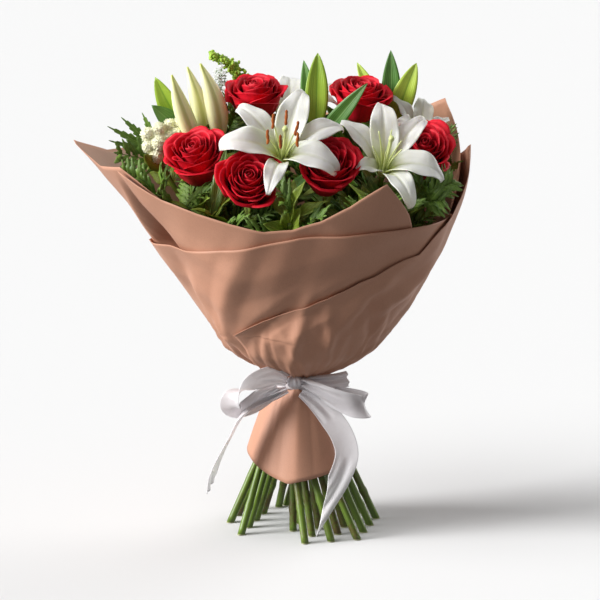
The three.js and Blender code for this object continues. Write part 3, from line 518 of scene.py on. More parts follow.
def stemMaterial():
    # Streaks that run up the stem, brown patches on some stems and a pale cut end
    colours = tones["stem"]
    material, tree = newMaterial("stemSkin", 0.4)
    _, lengthwise, tint = formNode(tree)
    streak = useGroup(tree, streaks, Across=9, Along=9, Detail=4)["Mask"]
    patch = useGroup(tree, mottle, Scale=38, Fine=0.5, Contrast=2.2)["Mask"]
    green = mixNode(tree, streak, colours["dark"], colours["light"])
    brown = times(tree, rampNode(tree, patch, 0.3, 0.8), rampNode(tree, tint, 0.15, 0.75))
    skin = mixNode(tree, times(tree, brown, 0.85), green, colours["brown"])
    cut = rampNode(tree, lengthwise, 0.003, 0.001)
    return dressed(material, mixNode(tree, cut, skin, colours["cut"]), streak, 0.3, 0.0006)


def paperMaterial():
    # Kraft paper: long fibres, fine specks and slow changes of tone
    colours = tones["paper"]
    material, tree = newMaterial("kraftPaper", 0.6, **{"Specular IOR Level": 0.45})
    place = tree.nodes.new("ShaderNodeTexCoord").outputs["Object"]
    patch = useGroup(tree, mottle, Scale=16, Fine=0.15, Contrast=1.2)["Mask"]
    fine = times(tree, noiseNode(tree, place, 900, 4.0, 0.65), 0.6)
    fibre = useGroup(tree, streaks, Across=700, Along=90, Detail=2)["Mask"]
    grain = mathNode(tree, "ADD", fine, times(tree, fibre, 0.4))
    base = mixNode(tree, patch, colours["dark"], colours["light"])
    speck = times(tree, rampNode(tree, grain, 0.42, 0.7), 0.22)
    return dressed(material, mixNode(tree, speck, base, colours["speck"]), grain, 0.12, 0.0004)


def satinMaterial():
    # White satin: fine threads across, a soft sheen and a slightly uneven gloss
    colours = tones["satin"]
    material, tree = newMaterial("satin", 0.34, **translucent(0.6, 0.004, 0.004, 0.004), **{
        "Sheen Weight": 0.25, "Sheen Roughness": 0.3, "Specular IOR Level": 0.6})
    patch = useGroup(tree, mottle, Scale=45, Fine=0.2, Contrast=1.4)["Mask"]
    gloss = tree.nodes["Principled BSDF"].inputs["Roughness"]
    put(tree, gloss, mathNode(tree, "MULTIPLY_ADD", patch, 0.12, 0.28))
    thread = mathNode(tree, "SINE", times(tree, formNode(tree)[0], 420))
    return dressed(material, mixNode(tree, patch, colours["shade"], colours["white"]), thread, 0.08, 0.0002)


finishes = {
    "rose": rosePetalMaterial(),
    "lily": lilyPetalMaterial(),
    "bud": budMaterial(),
    "stem": stemMaterial(),
    "paper": paperMaterial(),
    "satin": satinMaterial(),
    "pistil": plainPlantMaterial("lilyPistil", "#b9c774", "#e3e8a8", 150, 0.4),
    "anther": plainPlantMaterial("anther", "#7c300a", "#c86e1c", 600, 0.9, 0.8),
    "cream": plainPlantMaterial("creamFloret", "#e6e5be", "#fbfae4", 260, 0.9, 0.2),
    "goldenrod": plainPlantMaterial("goldenrodBud", "#6c9c1c", "#c0dc50", 300, 0.55),
    "twig": plainPlantMaterial("darkTwig", "#46662f", "#7c9a58", 200, 0.6),
    "tinyWhite": plainPlantMaterial("tinyWhiteFlower", "#d9dcd6", "#fbfbf8", 300, 0.7),
    "twine": plainPlantMaterial("twineFibre", "#7c6238", "#b4935c", 500, 0.95, 0.9),
    "lilyLeaf": leafMaterial("lilyLeaf", "#789c20", "#b6cc48", "#66901f", [0, 0, 11, 0.045], 0.38),
    "darkLilyLeaf": leafMaterial("darkLilyLeaf", "#2c5a1c", "#5c8f3a", "#8fb068", [0, 0, 9, 0.03], 0.4, 0.4),
    "roseLeaf": leafMaterial("roseLeaf", "#274a0e", "#6b9226", "#9ab05a", [9, 7, 0, 0.03], 0.4, 0.5, 0.6),
    "fern": leafMaterial("fernLeaf", "#264a10", "#769a36", "#98b25a", [4, 5, 0, 0.05], 0.5, 0.5, 0.5),
    "inner": leafMaterial("innerLeaf", "#34580c", "#a0b83e", "#bcca70", [7, 6, 0, 0.04], 0.45, 0.6, 0.6),
}
print("finishes ready", len(finishes))


# Paper

paperForm = {
    "thickness": 0.4,
    "layer": 1.25,  # spacing of the layers at the waist
    "turnStep": 2,  # degrees from column to column
    "hemRows": 18,
    "waistStep": 2.5,  # millimetres from row to row near the waist
    "coneRows": 40,
    "profile": [
        [-112, 65], [-85, 56.5], [-60, 48.5], [-30, 37.8], [-12, 28.6], [-2, 26.8],
        [7, 28.8], [14, 40], [22, 59], [36, 79], [60, 97],
    ],
    "coneStart": 60,
    "coneSlope": [0.505, 0.12, -0.01],  # its mean, and what it changes by twice and once round
    "gather": 0.7,  # depth of the pleats at the waist
    "dents": 1.5,
    "creaseDepth": 1.9,
    "pleats": 31,
    "sheets": {
        "paper_back": {
            "layer": 0, "from": 0, "to": 228, "fold": True,
            "top": [
                [0, 228], [12, 262], [24, 293], [48, 262], [84, 268], [120, 250], [156, 238],
                [168, 240], [180, 257], [192, 236], [204, 241], [216, 207], [228, 188],
            ],
            "hem": [[0, -84], [84, -104], [180, -80], [204, -74], [228, -70]],
            "lean": [
                [0, -30], [12, -45], [24, -58], [48, -40], [84, -10], [120, 0],
                [168, 4], [180, 22], [192, 6], [204, -3], [216, -4], [228, -6],
            ],
        },
        "paper_front_inner": {
            "layer": 1, "from": 204, "to": 324, "slant": 9,
            "top": [
                [204, 238], [216, 211], [228, 199], [240, 190], [252, 182.5], [264, 184],
                [276, 193], [288, 208], [300, 233], [312, 197], [324, 150],
            ],
            "hem": [[204, -14], [324, -14]],
            "lean": [[204, 0], [324, 0]],
        },
        "paper_front_outer": {
            "layer": 2, "from": 168, "to": 360,
            "top": [
                [168, 150], [200, 156], [220, 156], [244, 164], [259, 171],
                [270, 176], [305, 181], [348, 185], [360, 180],
            ],
            "hem": [[168, -78], [204, -86], [259, -106], [312, -94], [360, -88]],
            "lean": [[168, 2], [259, 2], [324, 1], [336, -8], [360, -15.2]],
        },
        "paper_right": {
            "layer": 3, "from": 228, "to": 420,
            "top": [
                [228, 62], [249, 81], [259, 88], [276, 101], [293, 115], [319, 146], [326, 150], [334, 175],
                [343, 193], [352, 232], [360, 256], [372, 240], [390, 222], [408, 195], [420, 170],
            ],
            "hem": [[228, -5], [300, -2], [420, -5]],
            "lean": [[228, 2], [300, 2], [326, 1], [343, -9], [360, -44], [376, -30], [420, -2]],
        },
    },
    # the fold of the back sheet: its ridge runs from one turn to the other between the two heights,
    # the wall behind it is some degrees wide, and the valley rises again from one turn to another,
    # given at both heights
    "fold": {"ridge": [187, 200], "heights": [150, 236], "wall": 2.2, "riseFrom": [210, 201],
             "riseTo": [224, 211], "depth": 38, "fade": [92, 126], "fineTurns": [184, 206, 0.5]},
    # creases: turn, height above the waist, slant in degrees from level, half length, half width, depth
    "creases": [
        [232, 105, 62, 75, 16, 3.2], [252, 78, 38, 60, 13, -2.6], [243, 128, 20, 60, 24, 1.0],
        [268, 62, 74, 45, 9, 2.6], [278, 96, 30, 66, 15, -2.8], [288, 58, 100, 40, 9, 2.4],
        [300, 92, 52, 60, 13, 2.8], [316, 74, 118, 50, 12, -2.4], [330, 110, 40, 60, 14, 2.6],
        [216, 70, 112, 45, 12, 2.4], [204, 120, 75, 70, 18, -2.6], [350, 80, 70, 60, 14, 2.6],
        [20, 110, 60, 80, 16, 3.0], [48, 70, 110, 60, 12, -2.6], [75, 140, 75, 90, 18, 3.2],
        [100, 80, 50, 60, 12, 2.8], [128, 120, 95, 80, 16, -3.0], [150, 70, 65, 50, 12, 2.6],
        [176, 130, 82, 80, 16, 2.6], [266, -55, 91, 80, 34, 2.0], [318, -55, 74, 40, 14, -0.6],
        [232, -50, 100, 40, 12, -0.5], [90, -60, 86, 40, 14, 1.2], [30, -50, 96, 36, 12, -0.8],
    ],
    # further creases by draw: a seed, how many, and the ranges of the same five values
    "drawn": [
        {"seed": 8, "count": 34, "ranges": [[14, 70], [50, 130], [22, 56], [3.4, 7], [0.8, 1.9]]},
        {"seed": 4, "count": 18, "ranges": [[80, 190], [15, 165], [50, 100], [12, 24], [0.9, 1.7]]},
    ],
}


def drawnCreases(rule):
    # Creases spread round the wrap, half of them ridges and half of them grooves
    pick = np.random.default_rng(rule["seed"])
    count = rule["count"]
    turn = 360 / count * np.arange(count) + pick.uniform(-5, 5, count)
    rest = [pick.uniform(*limits, count) for limits in rule["ranges"]]
    rest[-1] = rest[-1] * np.where(pick.permutation(count) % 2 == 0, 1, -1)
    return np.stack([turn, *rest], axis=-1)


creases = np.concatenate([paperForm["creases"], *map(drawnCreases, paperForm["drawn"])])


def listValue(pairs, at):
    # Straight lines between the listed places
    places, values = np.array(pairs, float).T
    return np.interp(at, places, values)


def rounded(pairs, at, reach):
    # The same, averaged over a short reach to both sides, so that corners are soft
    offsets = np.linspace(-reach, reach, 7)
    return np.mean([listValue(pairs, at + offset) for offset in offsets], axis=0)


def wrapRadius(turn, height):
    # Profile near the waist, then a cone whose slope changes with the turn
    start = paperForm["coneStart"]
    mean, twice, once = paperForm["coneSlope"]
    slope = mean + twice * np.cos(2 * np.radians(turn)) + once * np.cos(np.radians(turn))
    low = rounded(paperForm["profile"], np.minimum(height, start), 3)
    return np.where(height <= start, low, paperForm["profile"][-1][1] + slope * (height - start))


def paperRelief(turn, height):
    # Pleats that fade away from the waist, slow dents, and creases: each is a ridge with a sharp
    # crest about a slanted line, which fades along it
    pleats = np.sin(np.radians(turn * paperForm["pleats"]))
    pleats = np.exp(-np.abs(height - 4) / 16) * paperForm["gather"] * pleats
    slow = 1.3 * np.sin(np.radians(3 * turn + 0.8 * height))
    slow = slow + 0.9 * np.sin(np.radians(7 * turn - 1.3 * height + 40))
    total = pleats + smooth(20, 90, height) * slow * paperForm["dents"]
    for place, level, slant, length, width, depth in creases:
        across = ((turn - place + 180) % 360 - 180) * 1.9  # millimetres along the round
        up = height - level
        c, s = np.cos(np.radians(slant)), np.sin(np.radians(slant))
        lengthwise, aside = across * c + up * s, up * c - across * s
        crest = 1 - np.sqrt((aside / width) ** 2 + 0.01)
        fade = np.exp(-(lengthwise / length) ** 2)
        total = total + paperForm["creaseDepth"] * depth * np.clip(crest, 0, 1) * fade
    return total


def foldDepth(sheet, turn, height):
    # A fold that opens downwards: past its ridge the sheet sinks steeply, and it comes back up slowly
    if "fold" not in sheet:
        return 0 * turn
    fold = paperForm["fold"]
    keys = ("ridge", "riseFrom", "riseTo")
    ridge, start, end = [np.interp(height, fold["heights"], fold[key]) for key in keys]
    shape = smooth(0, fold["wall"], turn - ridge) * (1 - smooth(0, 1, (turn - start) / (end - start)))
    return -fold["depth"] * shape * smooth(*fold["fade"], height) * (1 - smooth(*fold["heights"], height))


def onWrap(turn, height, offset):
    # A point of the wrap, moved off it by offset along its normal
    step = 1.0
    rise = wrapRadius(turn, height + step) - wrapRadius(turn, height - step)
    length = np.hypot(rise, 2 * step)
    radius = wrapRadius(turn, height) + offset * 2 * step / length
    return around(radius, np.radians(turn), tieHeight + height - offset * rise / length)


def paperSheet(sheet):
    # Heights run from the hem through the waist to the crest; the lean grows with the cube of the height
    turns = np.arange(sheet["from"], sheet["to"] + 0.1, paperForm["turnStep"])
    if "fold" in sheet:
        fine = np.arange(*paperForm["fold"]["fineTurns"])
        turns = np.unique(np.round(np.concatenate([turns, fine]), 2))
    crest, hem = listValue(sheet["top"], turns), listValue(sheet["hem"], turns)
    start = paperForm["coneStart"]
    waist = np.arange(max(hem.max() + 1.5, -14), start, paperForm["waistStep"])
    low = hem + (waist[0] - hem) * np.linspace(0, 1, paperForm["hemRows"], endpoint=False)[:, None]
    high = start + (crest - start) * np.linspace(0, 1, paperForm["coneRows"])[:, None]
    heights = np.concatenate([low, np.broadcast_to(waist[:, None], (len(waist), len(turns))), high])
    first, last = sheet["from"], sheet["to"]
    left = first + sheet.get("slant", 0) * (1 - smooth(*paperForm["fold"]["heights"], heights))
    turn = left + (turns - first) * (last - left) / (last - first)
    above = np.maximum(heights - start, 0)
    share = above / np.maximum(crest - start, 1)
    stand = rounded(sheet["lean"], turn, 3) * share ** 3 + foldDepth(sheet, turn, heights)
    offset = paperForm["layer"] * sheet["layer"] * (1 + above / 250) + paperRelief(turn, heights)
    points = onWrap(turn, heights, offset) + around(stand, np.radians(turn), 0)
    return shells(points[None], paperForm["thickness"])


def paperRoom(turn, height):
    # Distance from the axis that is free inside every sheet which covers this place. Above a
    # sheet's crest the room widens, so that what leaves the wrap may spread over its edge
    room = np.full(np.shape(turn), 1e3)
    relief = np.minimum(paperRelief(turn, height), 0)
    start = paperForm["coneStart"]
    for sheet in paperForm["sheets"].values():
        for at in (turn, turn + 360):
            crest = listValue(sheet["top"], at)
            share = np.minimum(np.maximum(height - start, 0) / np.maximum(crest - start, 1), 1)
            stand = listValue(sheet["lean"], at) * share ** 3
            free = wrapRadius(at, height) + stand + foldDepth(sheet, at, height) + relief
            free = free + 2.5 * np.maximum(height - crest + 2, 0)
            covered = (at >= sheet["from"] - 6) & (at <= sheet["to"] + 6)
            room = np.where(covered, np.minimum(room, free), room)
    return room


def insideWrap(points, margin=5.0):
    # Draws points in towards the axis where they would touch the paper
    turn = np.degrees(np.arctan2(points[..., 1], points[..., 0])) % 360
    radius = np.hypot(points[..., 0], points[..., 1])
    room = paperRoom(turn, points[..., 2] - tieHeight) - margin
    scale = np.minimum(1, room / np.maximum(radius, 1))
    return points * np.stack([scale, scale, np.ones_like(scale)], axis=-1)


for name, sheet in paperForm["sheets"].items():
    makePiece(name + "_sheet", [paperSheet(sheet)], ["paper"], [name])
print("paper done")


# Ribbon

ribbonForm = {
    "width": 25,
    "thickness": 0.45,
    "stations": 80,
    "columns": 27,
    "deepest": 2.6,  # depth that its pleats may reach
    "band": {"radius": 33.05, "width": 11, "drop": 9, "ripple": 0.3},
    "knot": {"place": [-5, -38.6, 168.5], "size": [9.2, 7], "pleats": 11},
    # each point: its place, the direction across the ribbon, and the width there as it lies
    "pieces": {
        "ribbon_loop_left": {"held": "folded", "pleats": 3, "bow": 1.4, "cut": 0, "points": [
            [-13.5, -41, 171, 0, 0.05, 1, 13],
            [-29, -50, 177, 0.3, -0.1, 1, 23],
            [-46, -56, 174, 0.5, -0.2, 0.9, 25],
            [-61, -58, 165, 0.7, -0.3, 0.7, 25],
            [-72, -57, 154, 0.75, -0.5, 0.5, 25],
            [-74, -53, 143, 0.6, -0.6, 0.5, 25],
            [-66, -49, 139, 0.35, -0.5, 0.75, 25],
            [-53, -46, 144, 0.15, -0.3, 0.9, 25],
            [-38, -43, 154, 0, -0.1, 1, 22],
            [-24, -40, 162, 0, 0, 1, 15],
        ]},
        "ribbon_loop_right": {"held": "folded", "pleats": 2, "bow": 1.8, "cut": 0, "points": [
            [1.2, -40.8, 168, 0, 0.1, 1, 11],
            [20, -50, 160.5, -0.25, -0.1, 1, 19],
            [38, -56, 153, -0.4, -0.1, 1, 24],
            [56, -58, 147, -0.45, 0, 1, 25],
            [69, -53, 144, -0.4, 0.3, 1, 25],
            [70, -44, 145, -0.3, 0.3, 1, 25],
            [58, -40, 150, -0.2, 0.1, 1, 22],
            [44, -38, 156, -0.1, 0, 1, 14],
            [36, -37, 159, 0, 0, 1, 9],
        ]},
        "ribbon_end_right": {"held": "folded", "pleats": 2, "bow": 0.8, "cut": 0.05, "points": [
            [2.3, -39.2, 168, 0, 0.2, 1, 9],
            [16, -37, 168, 0.05, 0.2, 1, 13],
            [30, -34, 167, 0.1, 0.2, 1, 16],
            [42, -29, 167, 0.1, 0.1, 1, 17.5],
            [53, -22, 168, 0.15, 0.1, 1, 18],
        ]},
        "ribbon_tail_left": {"held": "hung", "pleats": 2, "bow": 1.6, "cut": 0.1, "points": [
            [-14, -38, 160, 0, 0, 1, 8],
            [-38, -43, 149, 0.3, 0.6, 0.6, 14],
            [-60, -49, 134, 0.3, 1, 0.2, 20],
            [-73, -51, 113, 0.2, 1, 0, 25],
            [-85, -53, 90, 0.25, 1, 0, 25],
            [-93, -55, 70, 0.3, 1, 0, 25],
            [-97, -56, 50, 0.2, 1, 0.3, 18],
        ]},
        "ribbon_tail_right": {"held": "hung", "pleats": 2, "bow": 1.6, "cut": -0.27, "points": [
            [1, -41.5, 157, 1, 0, 0.6, 10],
            [16, -45, 147, 1, -0.1, 0.7, 18],
            [34, -48, 129, 1, -0.1, 0.4, 25],
            [46, -51, 110, 1, 0, 0.1, 25],
            [50, -55, 90, 1, 0, -0.2, 25],
            [42, -64, 68, 1, 0.1, -0.35, 24],
            [27, -77, 45, 1, 0.2, -0.3, 23],
            [8, -89, 15, 1, 0.3, -0.3, 22],
        ]},
    },
}


def throughPoints(points, count):
    # Catmull-Rom curve through the points, sampled evenly by point
    points = np.array(points, float)
    padded = np.concatenate([2 * points[:1] - points[1:2], points, 2 * points[-1:] - points[-2:-1]])
    at = np.linspace(0, len(points) - 1, count)
    i = np.minimum(at.astype(int), len(points) - 2)
    t = (at - i)[:, None]
    a, b, c, d = padded[i], padded[i + 1], padded[i + 2], padded[i + 3]
    square, cube = 2 * a - 5 * b + 4 * c - d, 3 * b - a - 3 * c + d
    return 0.5 * (2 * b + (c - a) * t + square * t ** 2 + cube * t ** 3)


def ribbonStrip(piece):
    # The full width is kept along the whole strip: where it lies narrower, the rest goes into
    # pleats, sine waves across it whose depth makes up the length. The last end is cut on a slant,
    # so each line along the ribbon stops at its own share of the length
    rows = throughPoints(piece["points"], 240)
    centre, across, lying = rows[:, :3], unit(rows[:, 3:6]), np.clip(rows[:, 6], 5, ribbonForm["width"])
    along = unit(np.gradient(centre, axis=0))
    across = unit(across - along * np.sum(across * along, axis=1, keepdims=True))
    normal = np.cross(across, along)
    pleats = piece["pleats"]
    excess = np.sqrt(2 * np.maximum((ribbonForm["width"] / lying) ** 2 - 1, 0))
    depth = np.minimum(lying / (2 * np.pi * pleats) * excess, ribbonForm["deepest"])
    u = np.linspace(-0.5, 0.5, ribbonForm["columns"])
    wave = np.sin(2 * np.pi * pleats * u + 0.6)
    bow = piece["bow"] * (0.25 - u * u) * 4 * smooth(12, 24, lying)[:, None]
    grid = centre[:, None] + across[:, None] * (lying[:, None] * u)[..., None]
    grid = grid + normal[:, None] * (depth[:, None] * wave + bow)[..., None]
    at = 1 - abs(piece["cut"]) * (0.5 + np.sign(piece["cut"]) * u)
    at = np.linspace(0, 1, ribbonForm["stations"])[:, None] * at * (len(rows) - 1)
    low = np.minimum(at.astype(int), len(rows) - 2)
    share = (at - low)[..., None]
    column = np.arange(len(u))[None]
    grid = grid[low, column] * (1 - share) + grid[low + 1, column] * share
    length = np.linalg.norm(np.diff(centre, axis=0), axis=1).sum()
    return shells(grid[None], ribbonForm["thickness"]), length


def ribbonBand():
    # A ring about the waist with two soft pleats along it, closed into a torus of narrow section
    band = ribbonForm["band"]
    turn, section = fullTurn(144)[:, None], fullTurn(24)
    height = tieHeight - band["drop"] + band["width"] * (0.5 - 0.5 * np.cos(section))
    radius = band["radius"] + 0.25 * np.sin(section) + band["ripple"] * np.sin(height * 1.9)
    points = around(radius, turn, height)
    place = np.arange(points.size // 3).reshape(points.shape[:2])
    right, up = np.roll(place, -1, axis=0), np.roll(place, -1, axis=1)
    faces = np.stack([up, np.roll(right, -1, axis=1), right, place], axis=-1).reshape(-1, 4)
    return part(points, [faces], formOf((1, *place.shape), 0.5))


def ribbonKnot():
    # A barrel wrapped by the ribbon: ellipses of changing size, with pleats that slant up it
    knot = ribbonForm["knot"]
    rise = np.linspace(-8, 6.5, 26)[:, None]
    turn = fullTurn(72)
    swell = (1 - (rise / 15) ** 2) * (1 + 0.07 * np.sin(knot["pleats"] * turn + rise * 0.12))
    closing = np.sqrt(np.clip(1 - (np.abs(rise - rise.mean()) / 7.4) ** 2.6, 0.04, 1))
    rings = around(swell * closing, turn, rise) * vector(*knot["size"], 1) + knot["place"]
    return closedRings(rings[None], rings[:1].mean(axis=1), rings[-1:].mean(axis=1), endAcross=0.5)


makePiece("ribbon_band_satin", [ribbonBand(), ribbonKnot()], ["satin"], ["ribbon_band"])
for name, piece in ribbonForm["pieces"].items():
    lump, length = ribbonStrip(piece)
    strip = makePiece(name + "_satin", [lump], ["satin"], [name])
print("ribbon done")


# Flowers

roseForm = {
    # look, sink and tall: where a bloom faces otherwise than its stem, how far it is set down, and
    # its height as a share
    "places": [
        {"centre": [-112, -46, 408], "facing": [-0.3, -0.72, 0.62], "roll": 10,
         "look": [-0.2, -0.55, 0.81], "sink": 10},
        {"centre": [-53, -96, 390], "facing": [0.03, -0.84, 0.54], "roll": 40},
        {"centre": [29, -83, 401], "facing": [0.05, -0.7, 0.71], "roll": 0},
        {"centre": [-48, 15, 466], "facing": [-0.05, -0.3, 0.95], "roll": 25, "tall": 0.84},
        {"centre": [64, 20, 464], "facing": [0.1, -0.3, 0.95], "roll": 5, "tall": 0.84},
        {"centre": [134, -27, 413], "facing": [0.35, -0.62, 0.7], "roll": 30,
         "look": [0.1, -0.72, 0.69], "sink": 3},
    ],
    "depth": 23,  # from a rose's base to its middle
    "size": 1.12,
    "petals": 30,
    "seed": 20,
    "thickness": 0.3,
    "rows": 18,
    "columns": 13,
}


def roseBloom(seed):
    # Petals on a spiral: each turns on by the golden angle. A petal's upright line starts at its
    # root and leans out, then stands up, then rolls over at the rim; the leans change from the
    # heart outwards. The line is summed up step by step, and the petal bends round the axis
    pick = np.random.default_rng(seed)
    count, rows, columns = roseForm["petals"], roseForm["rows"], roseForm["columns"]
    q = (np.arange(count) / (count - 1))[:, None, None]
    v, u = downRows(rows), overColumns(columns)
    jitter = pick.uniform(-1, 1, (4, count, 1, 1))
    leanRoot = 5 + 70 * q ** 0.8
    leanBody = -3 + 20 * q ** 2
    leanRim = -16 + 58 * smooth(0.15, 0.5, q) + 80 * smooth(0.5, 1, q)
    leanRim = leanRim + 20 * jitter[0] * smooth(0.1, 0.6, q)
    roll = leanRim * (0.7 + 0.6 * np.abs(u) ** 1.5)
    lean = leanRoot + (leanBody - leanRoot) * smooth(0, 0.5, v)
    lean = lean + (roll - leanBody) * smooth(0.74, 1.05, v) ** 1.3
    rim = 1 - (0.1 + 0.16 * q) * np.abs(u) ** 2 + 0.03 * q * np.exp(-(u / 0.2) ** 2)
    length = (44 + 3 * np.sin(np.pi * q) + 2.0 * q + 1.2 * jitter[1]) * rim
    outward, upward = climbed(np.radians(lean), length / (rows - 1))
    halfAngle = np.interp(q, [0, 0.2, 0.55, 1], [125, 84, 66, 55]) * (1 + 0.1 * jitter[3])
    spread = 0.42 + 0.58 * np.minimum(v / 0.6, 1)
    turn = goldenTurn * np.arange(count)[:, None, None] + 9 * jitter[2] * q
    ruffle = (0.3 + 1.7 * q) * v ** 4 * np.sin(np.pi * (1.4 * u + jitter[3] * 2))
    ruffle = ruffle + 0.5 * q * v ** 6 * np.sin(np.pi * (4.2 * u + jitter[0] * 3))
    radius = 1.2 + 5.5 * q + outward + (0.6 + 1.4 * q) * u * v + ruffle
    grids = around(radius, np.radians(turn + halfAngle * u * spread), 1.5 + upward + 0.4 * ruffle)
    # Painted shade: the tint rises from the inner petals to the outer ones, with a random share, so the inner
    # petals take the shaded red; the base below gets the low tint 0.1
    tint = np.clip(0.25 + 0.6 * q[:, 0, 0] + 0.2 * pick.uniform(-1, 1, count), 0, 1)
    t = np.linspace(0, 1, 6)
    base = tubes(np.array([[[0, 0, z] for z in 0.2 + 5 * t]]), 3 + 7.5 * np.sin(np.pi / 2 * t), 20, 0.1)
    return [shells(grids, roseForm["thickness"], tint), base]


for i, rose in enumerate(roseForm["places"]):
    facing = unit(rose["facing"])
    look = unit(rose.get("look", facing))
    base = np.array(rose["centre"]) - facing * roseForm["depth"] - look * rose.get("sink", 0)
    rotation = turned(look, rose["roll"]) @ np.diag([1, 1, rose.get("tall", 1)])
    lumps = [moved(lump, rotation, base, roseForm["size"]) for lump in roseBloom(roseForm["seed"] + i)]
    makePiece(f"rose_{i + 1}_bloom", lumps, ["rose"], [f"rose_{i + 1}"])
print("roses done")

lilyForm = {
    # nod: degrees that a flower is tipped to the front, tepals: turn about the flower's axis,
    # share of the full length, how far the tip arches
    "places": [
        {"throat": [-18, -89, 420], "facing": [0.02, -0.72, 0.69], "stamens": 6, "anthers": True, "tepals": [
            [72, 1, 115], [24, 1, 150], [-26, 0.98, 160], [-103, 0.86, 125], [180, 1, 150], [135, 1, 140],
        ]},
        {"throat": [87, -78, 406], "facing": [0.1, -0.66, 0.74], "stamens": 6, "anthers": False, "tepals": [
            [97, 0.95, 105], [52, 0.95, 120], [-14, 0.95, 160],
            [-62, 0.9, 160], [-150, 0.5, 95], [140, 0.86, 120],
        ]},
        {"throat": [-12, 62, 440], "facing": [0.05, 0.25, 0.96], "nod": 32, "pistil": 32, "tepals": [
            [90, 0.9, 120], [30, 0.9, 110], [-30, 0.9, 90], [-90, 0.85, 90], [-150, 0.8, 75], [150, 0.9, 100],
        ]},
        {"throat": [129, 30, 432], "facing": [0.3, 0.05, 0.95], "nod": 38, "pistil": 30, "tepals": [
            [90, 0.58, 110], [30, 0.46, 90], [-30, 0.46, 90],
            [-90, 0.44, 70], [-150, 0.6, 80], [150, 0.62, 90],
        ]},
    ],
    "depth": 12,  # from a lily's base to the place in its throat where the stamens part
    "tepal": 88,
    "thickness": 0.7,
    "rows": 44,
    "columns": 17,
    "broad": {"half": 17, "start": 2.4, "opening": 24},
    "narrow": {"half": 13, "start": 4.2, "opening": 27},
    "pistil": 62,
    "anther": 16,
    "seed": 40,
}


def lilyTepals(tepals, pick):
    # The midrib leaves the throat steeply and arches over: its lean goes from the opening to the
    # arch with the power 1.5 of the way. Across it the tepal bends round the flower's axis, with a
    # groove along the middle and waves at the edges
    turn, share, arch = np.array(tepals, float).T[:, :, None, None]
    kinds = [lilyForm["broad"] if i % 2 == 0 else lilyForm["narrow"] for i in range(len(tepals))]
    keys = ("half", "start", "opening")
    half, start, opening = (np.array([kind[key] for kind in kinds])[:, None, None] for key in keys)
    rows, columns = lilyForm["rows"], lilyForm["columns"]
    s, u = downRows(rows), overColumns(columns)
    curl = 35 * smooth(0.72, 1, s) * pick.uniform(0.3, 1, turn.shape)
    lean = np.radians(opening + (arch - opening) * s ** 1.5 + curl)
    out, up = climbed(lean, lilyForm["tepal"] * share / (rows - 1))
    out = out + start
    width = 1.6 + (half * share ** 0.6 - 1.6) * np.sin(np.pi * np.minimum(s, 0.988) ** 0.98) ** 0.9
    bend = np.maximum(out, width / 1.25)
    phase = 5.2 * s + pick.uniform(0, 2, turn.shape) + 0.5 * np.sign(u)
    wave = 1.9 * np.abs(u) ** 2.2 * np.sin(np.pi * phase)
    groove = -1.1 * np.exp(-(u / 0.13) ** 2) * np.sin(np.pi * s) ** 0.6
    edge = -0.1 * width * np.abs(u) ** 3 * smooth(0.3, 0.9, s)
    across = bend * np.sin(width / bend * u)
    inward = bend * (1 - np.cos(width / bend * u)) + wave * smooth(0.3, 0.6, s) + groove + edge
    height = 1 + up + np.sin(lean) * inward
    grids = around(out - np.cos(lean) * inward, np.radians(turn), height, across)
    return shells(grids, lilyForm["thickness"], pick.uniform(0, 1, len(tepals)))


def lilyStamens(lily, up, pick):
    # Filaments bow outwards from the throat, and an anther lies across the end of each
    count, pistil = lily.get("stamens", 0), lily.get("pistil", lilyForm["pistil"])
    order = np.arange(count)
    lumps = []
    lean = np.radians(np.where(order % 2 == 0, 15, 19) + pick.uniform(-2, 2, count))
    outward = around(1, np.radians(60 * order + 20), 0)
    heading = outward * np.sin(lean)[:, None] + vector(0, 0, 1) * np.cos(lean)[:, None]
    t = downRows(12)
    foot = outward * 2.4 + vector(0, 0, 5)
    end = heading * (52 + 3 * (order % 3))[:, None]
    if count:
        paths = foot[:, None] * (1 - t) + end[:, None] * t - outward[:, None] * (2.0 * np.sin(np.pi * t))
        lumps.append(tubes(paths, 1.05 - 0.4 * t[..., 0], 8, 0.6, 1))
    if lily.get("anthers"):
        side = unit(up + pick.uniform(-0.35, 0.35, (count, 3)))
        s = np.linspace(-1, 1, 15)[None, :, None]
        bow = heading[:, None] * (1.6 * s ** 2) + outward[:, None] * (0.8 * np.sin(3 * s))
        paths = end[:, None] + side[:, None] * s * lilyForm["anther"] / 2 + bow
        thick = 1.4 * (1 - s ** 6) ** 0.5 * (1 + 0.14 * np.sin(9 * s)) + 0.15
        lumps.append(tubes(paths, thick[..., 0], 8, pick.uniform(0, 1, count), 2))
    path = throughPoints([[0, 0, 4], [1, -1, pistil * 0.4], [2, -2, pistil * 0.7], [2, -2, pistil - 5]], 14)
    lumps.append(tubes(path[None], 1.5, 10, 0.7, 1))
    knob = np.array([[[2, -2, pistil - 6 + z] for z in np.linspace(0, 6, 9)]])
    thick = 3 * (0.45 + 0.55 * np.sin(np.linspace(0.1, 0.82, 9) * np.pi) ** 0.7)
    return [*lumps, tubes(knob, thick, 12, 0.3, 1)]


def nodding(degrees):
    # Rotation about +X that tips a flower towards the front
    c, s = np.cos(np.radians(degrees)), np.sin(np.radians(degrees))
    return np.array([[1, 0, 0], [0, c, -s], [0, s, c]])


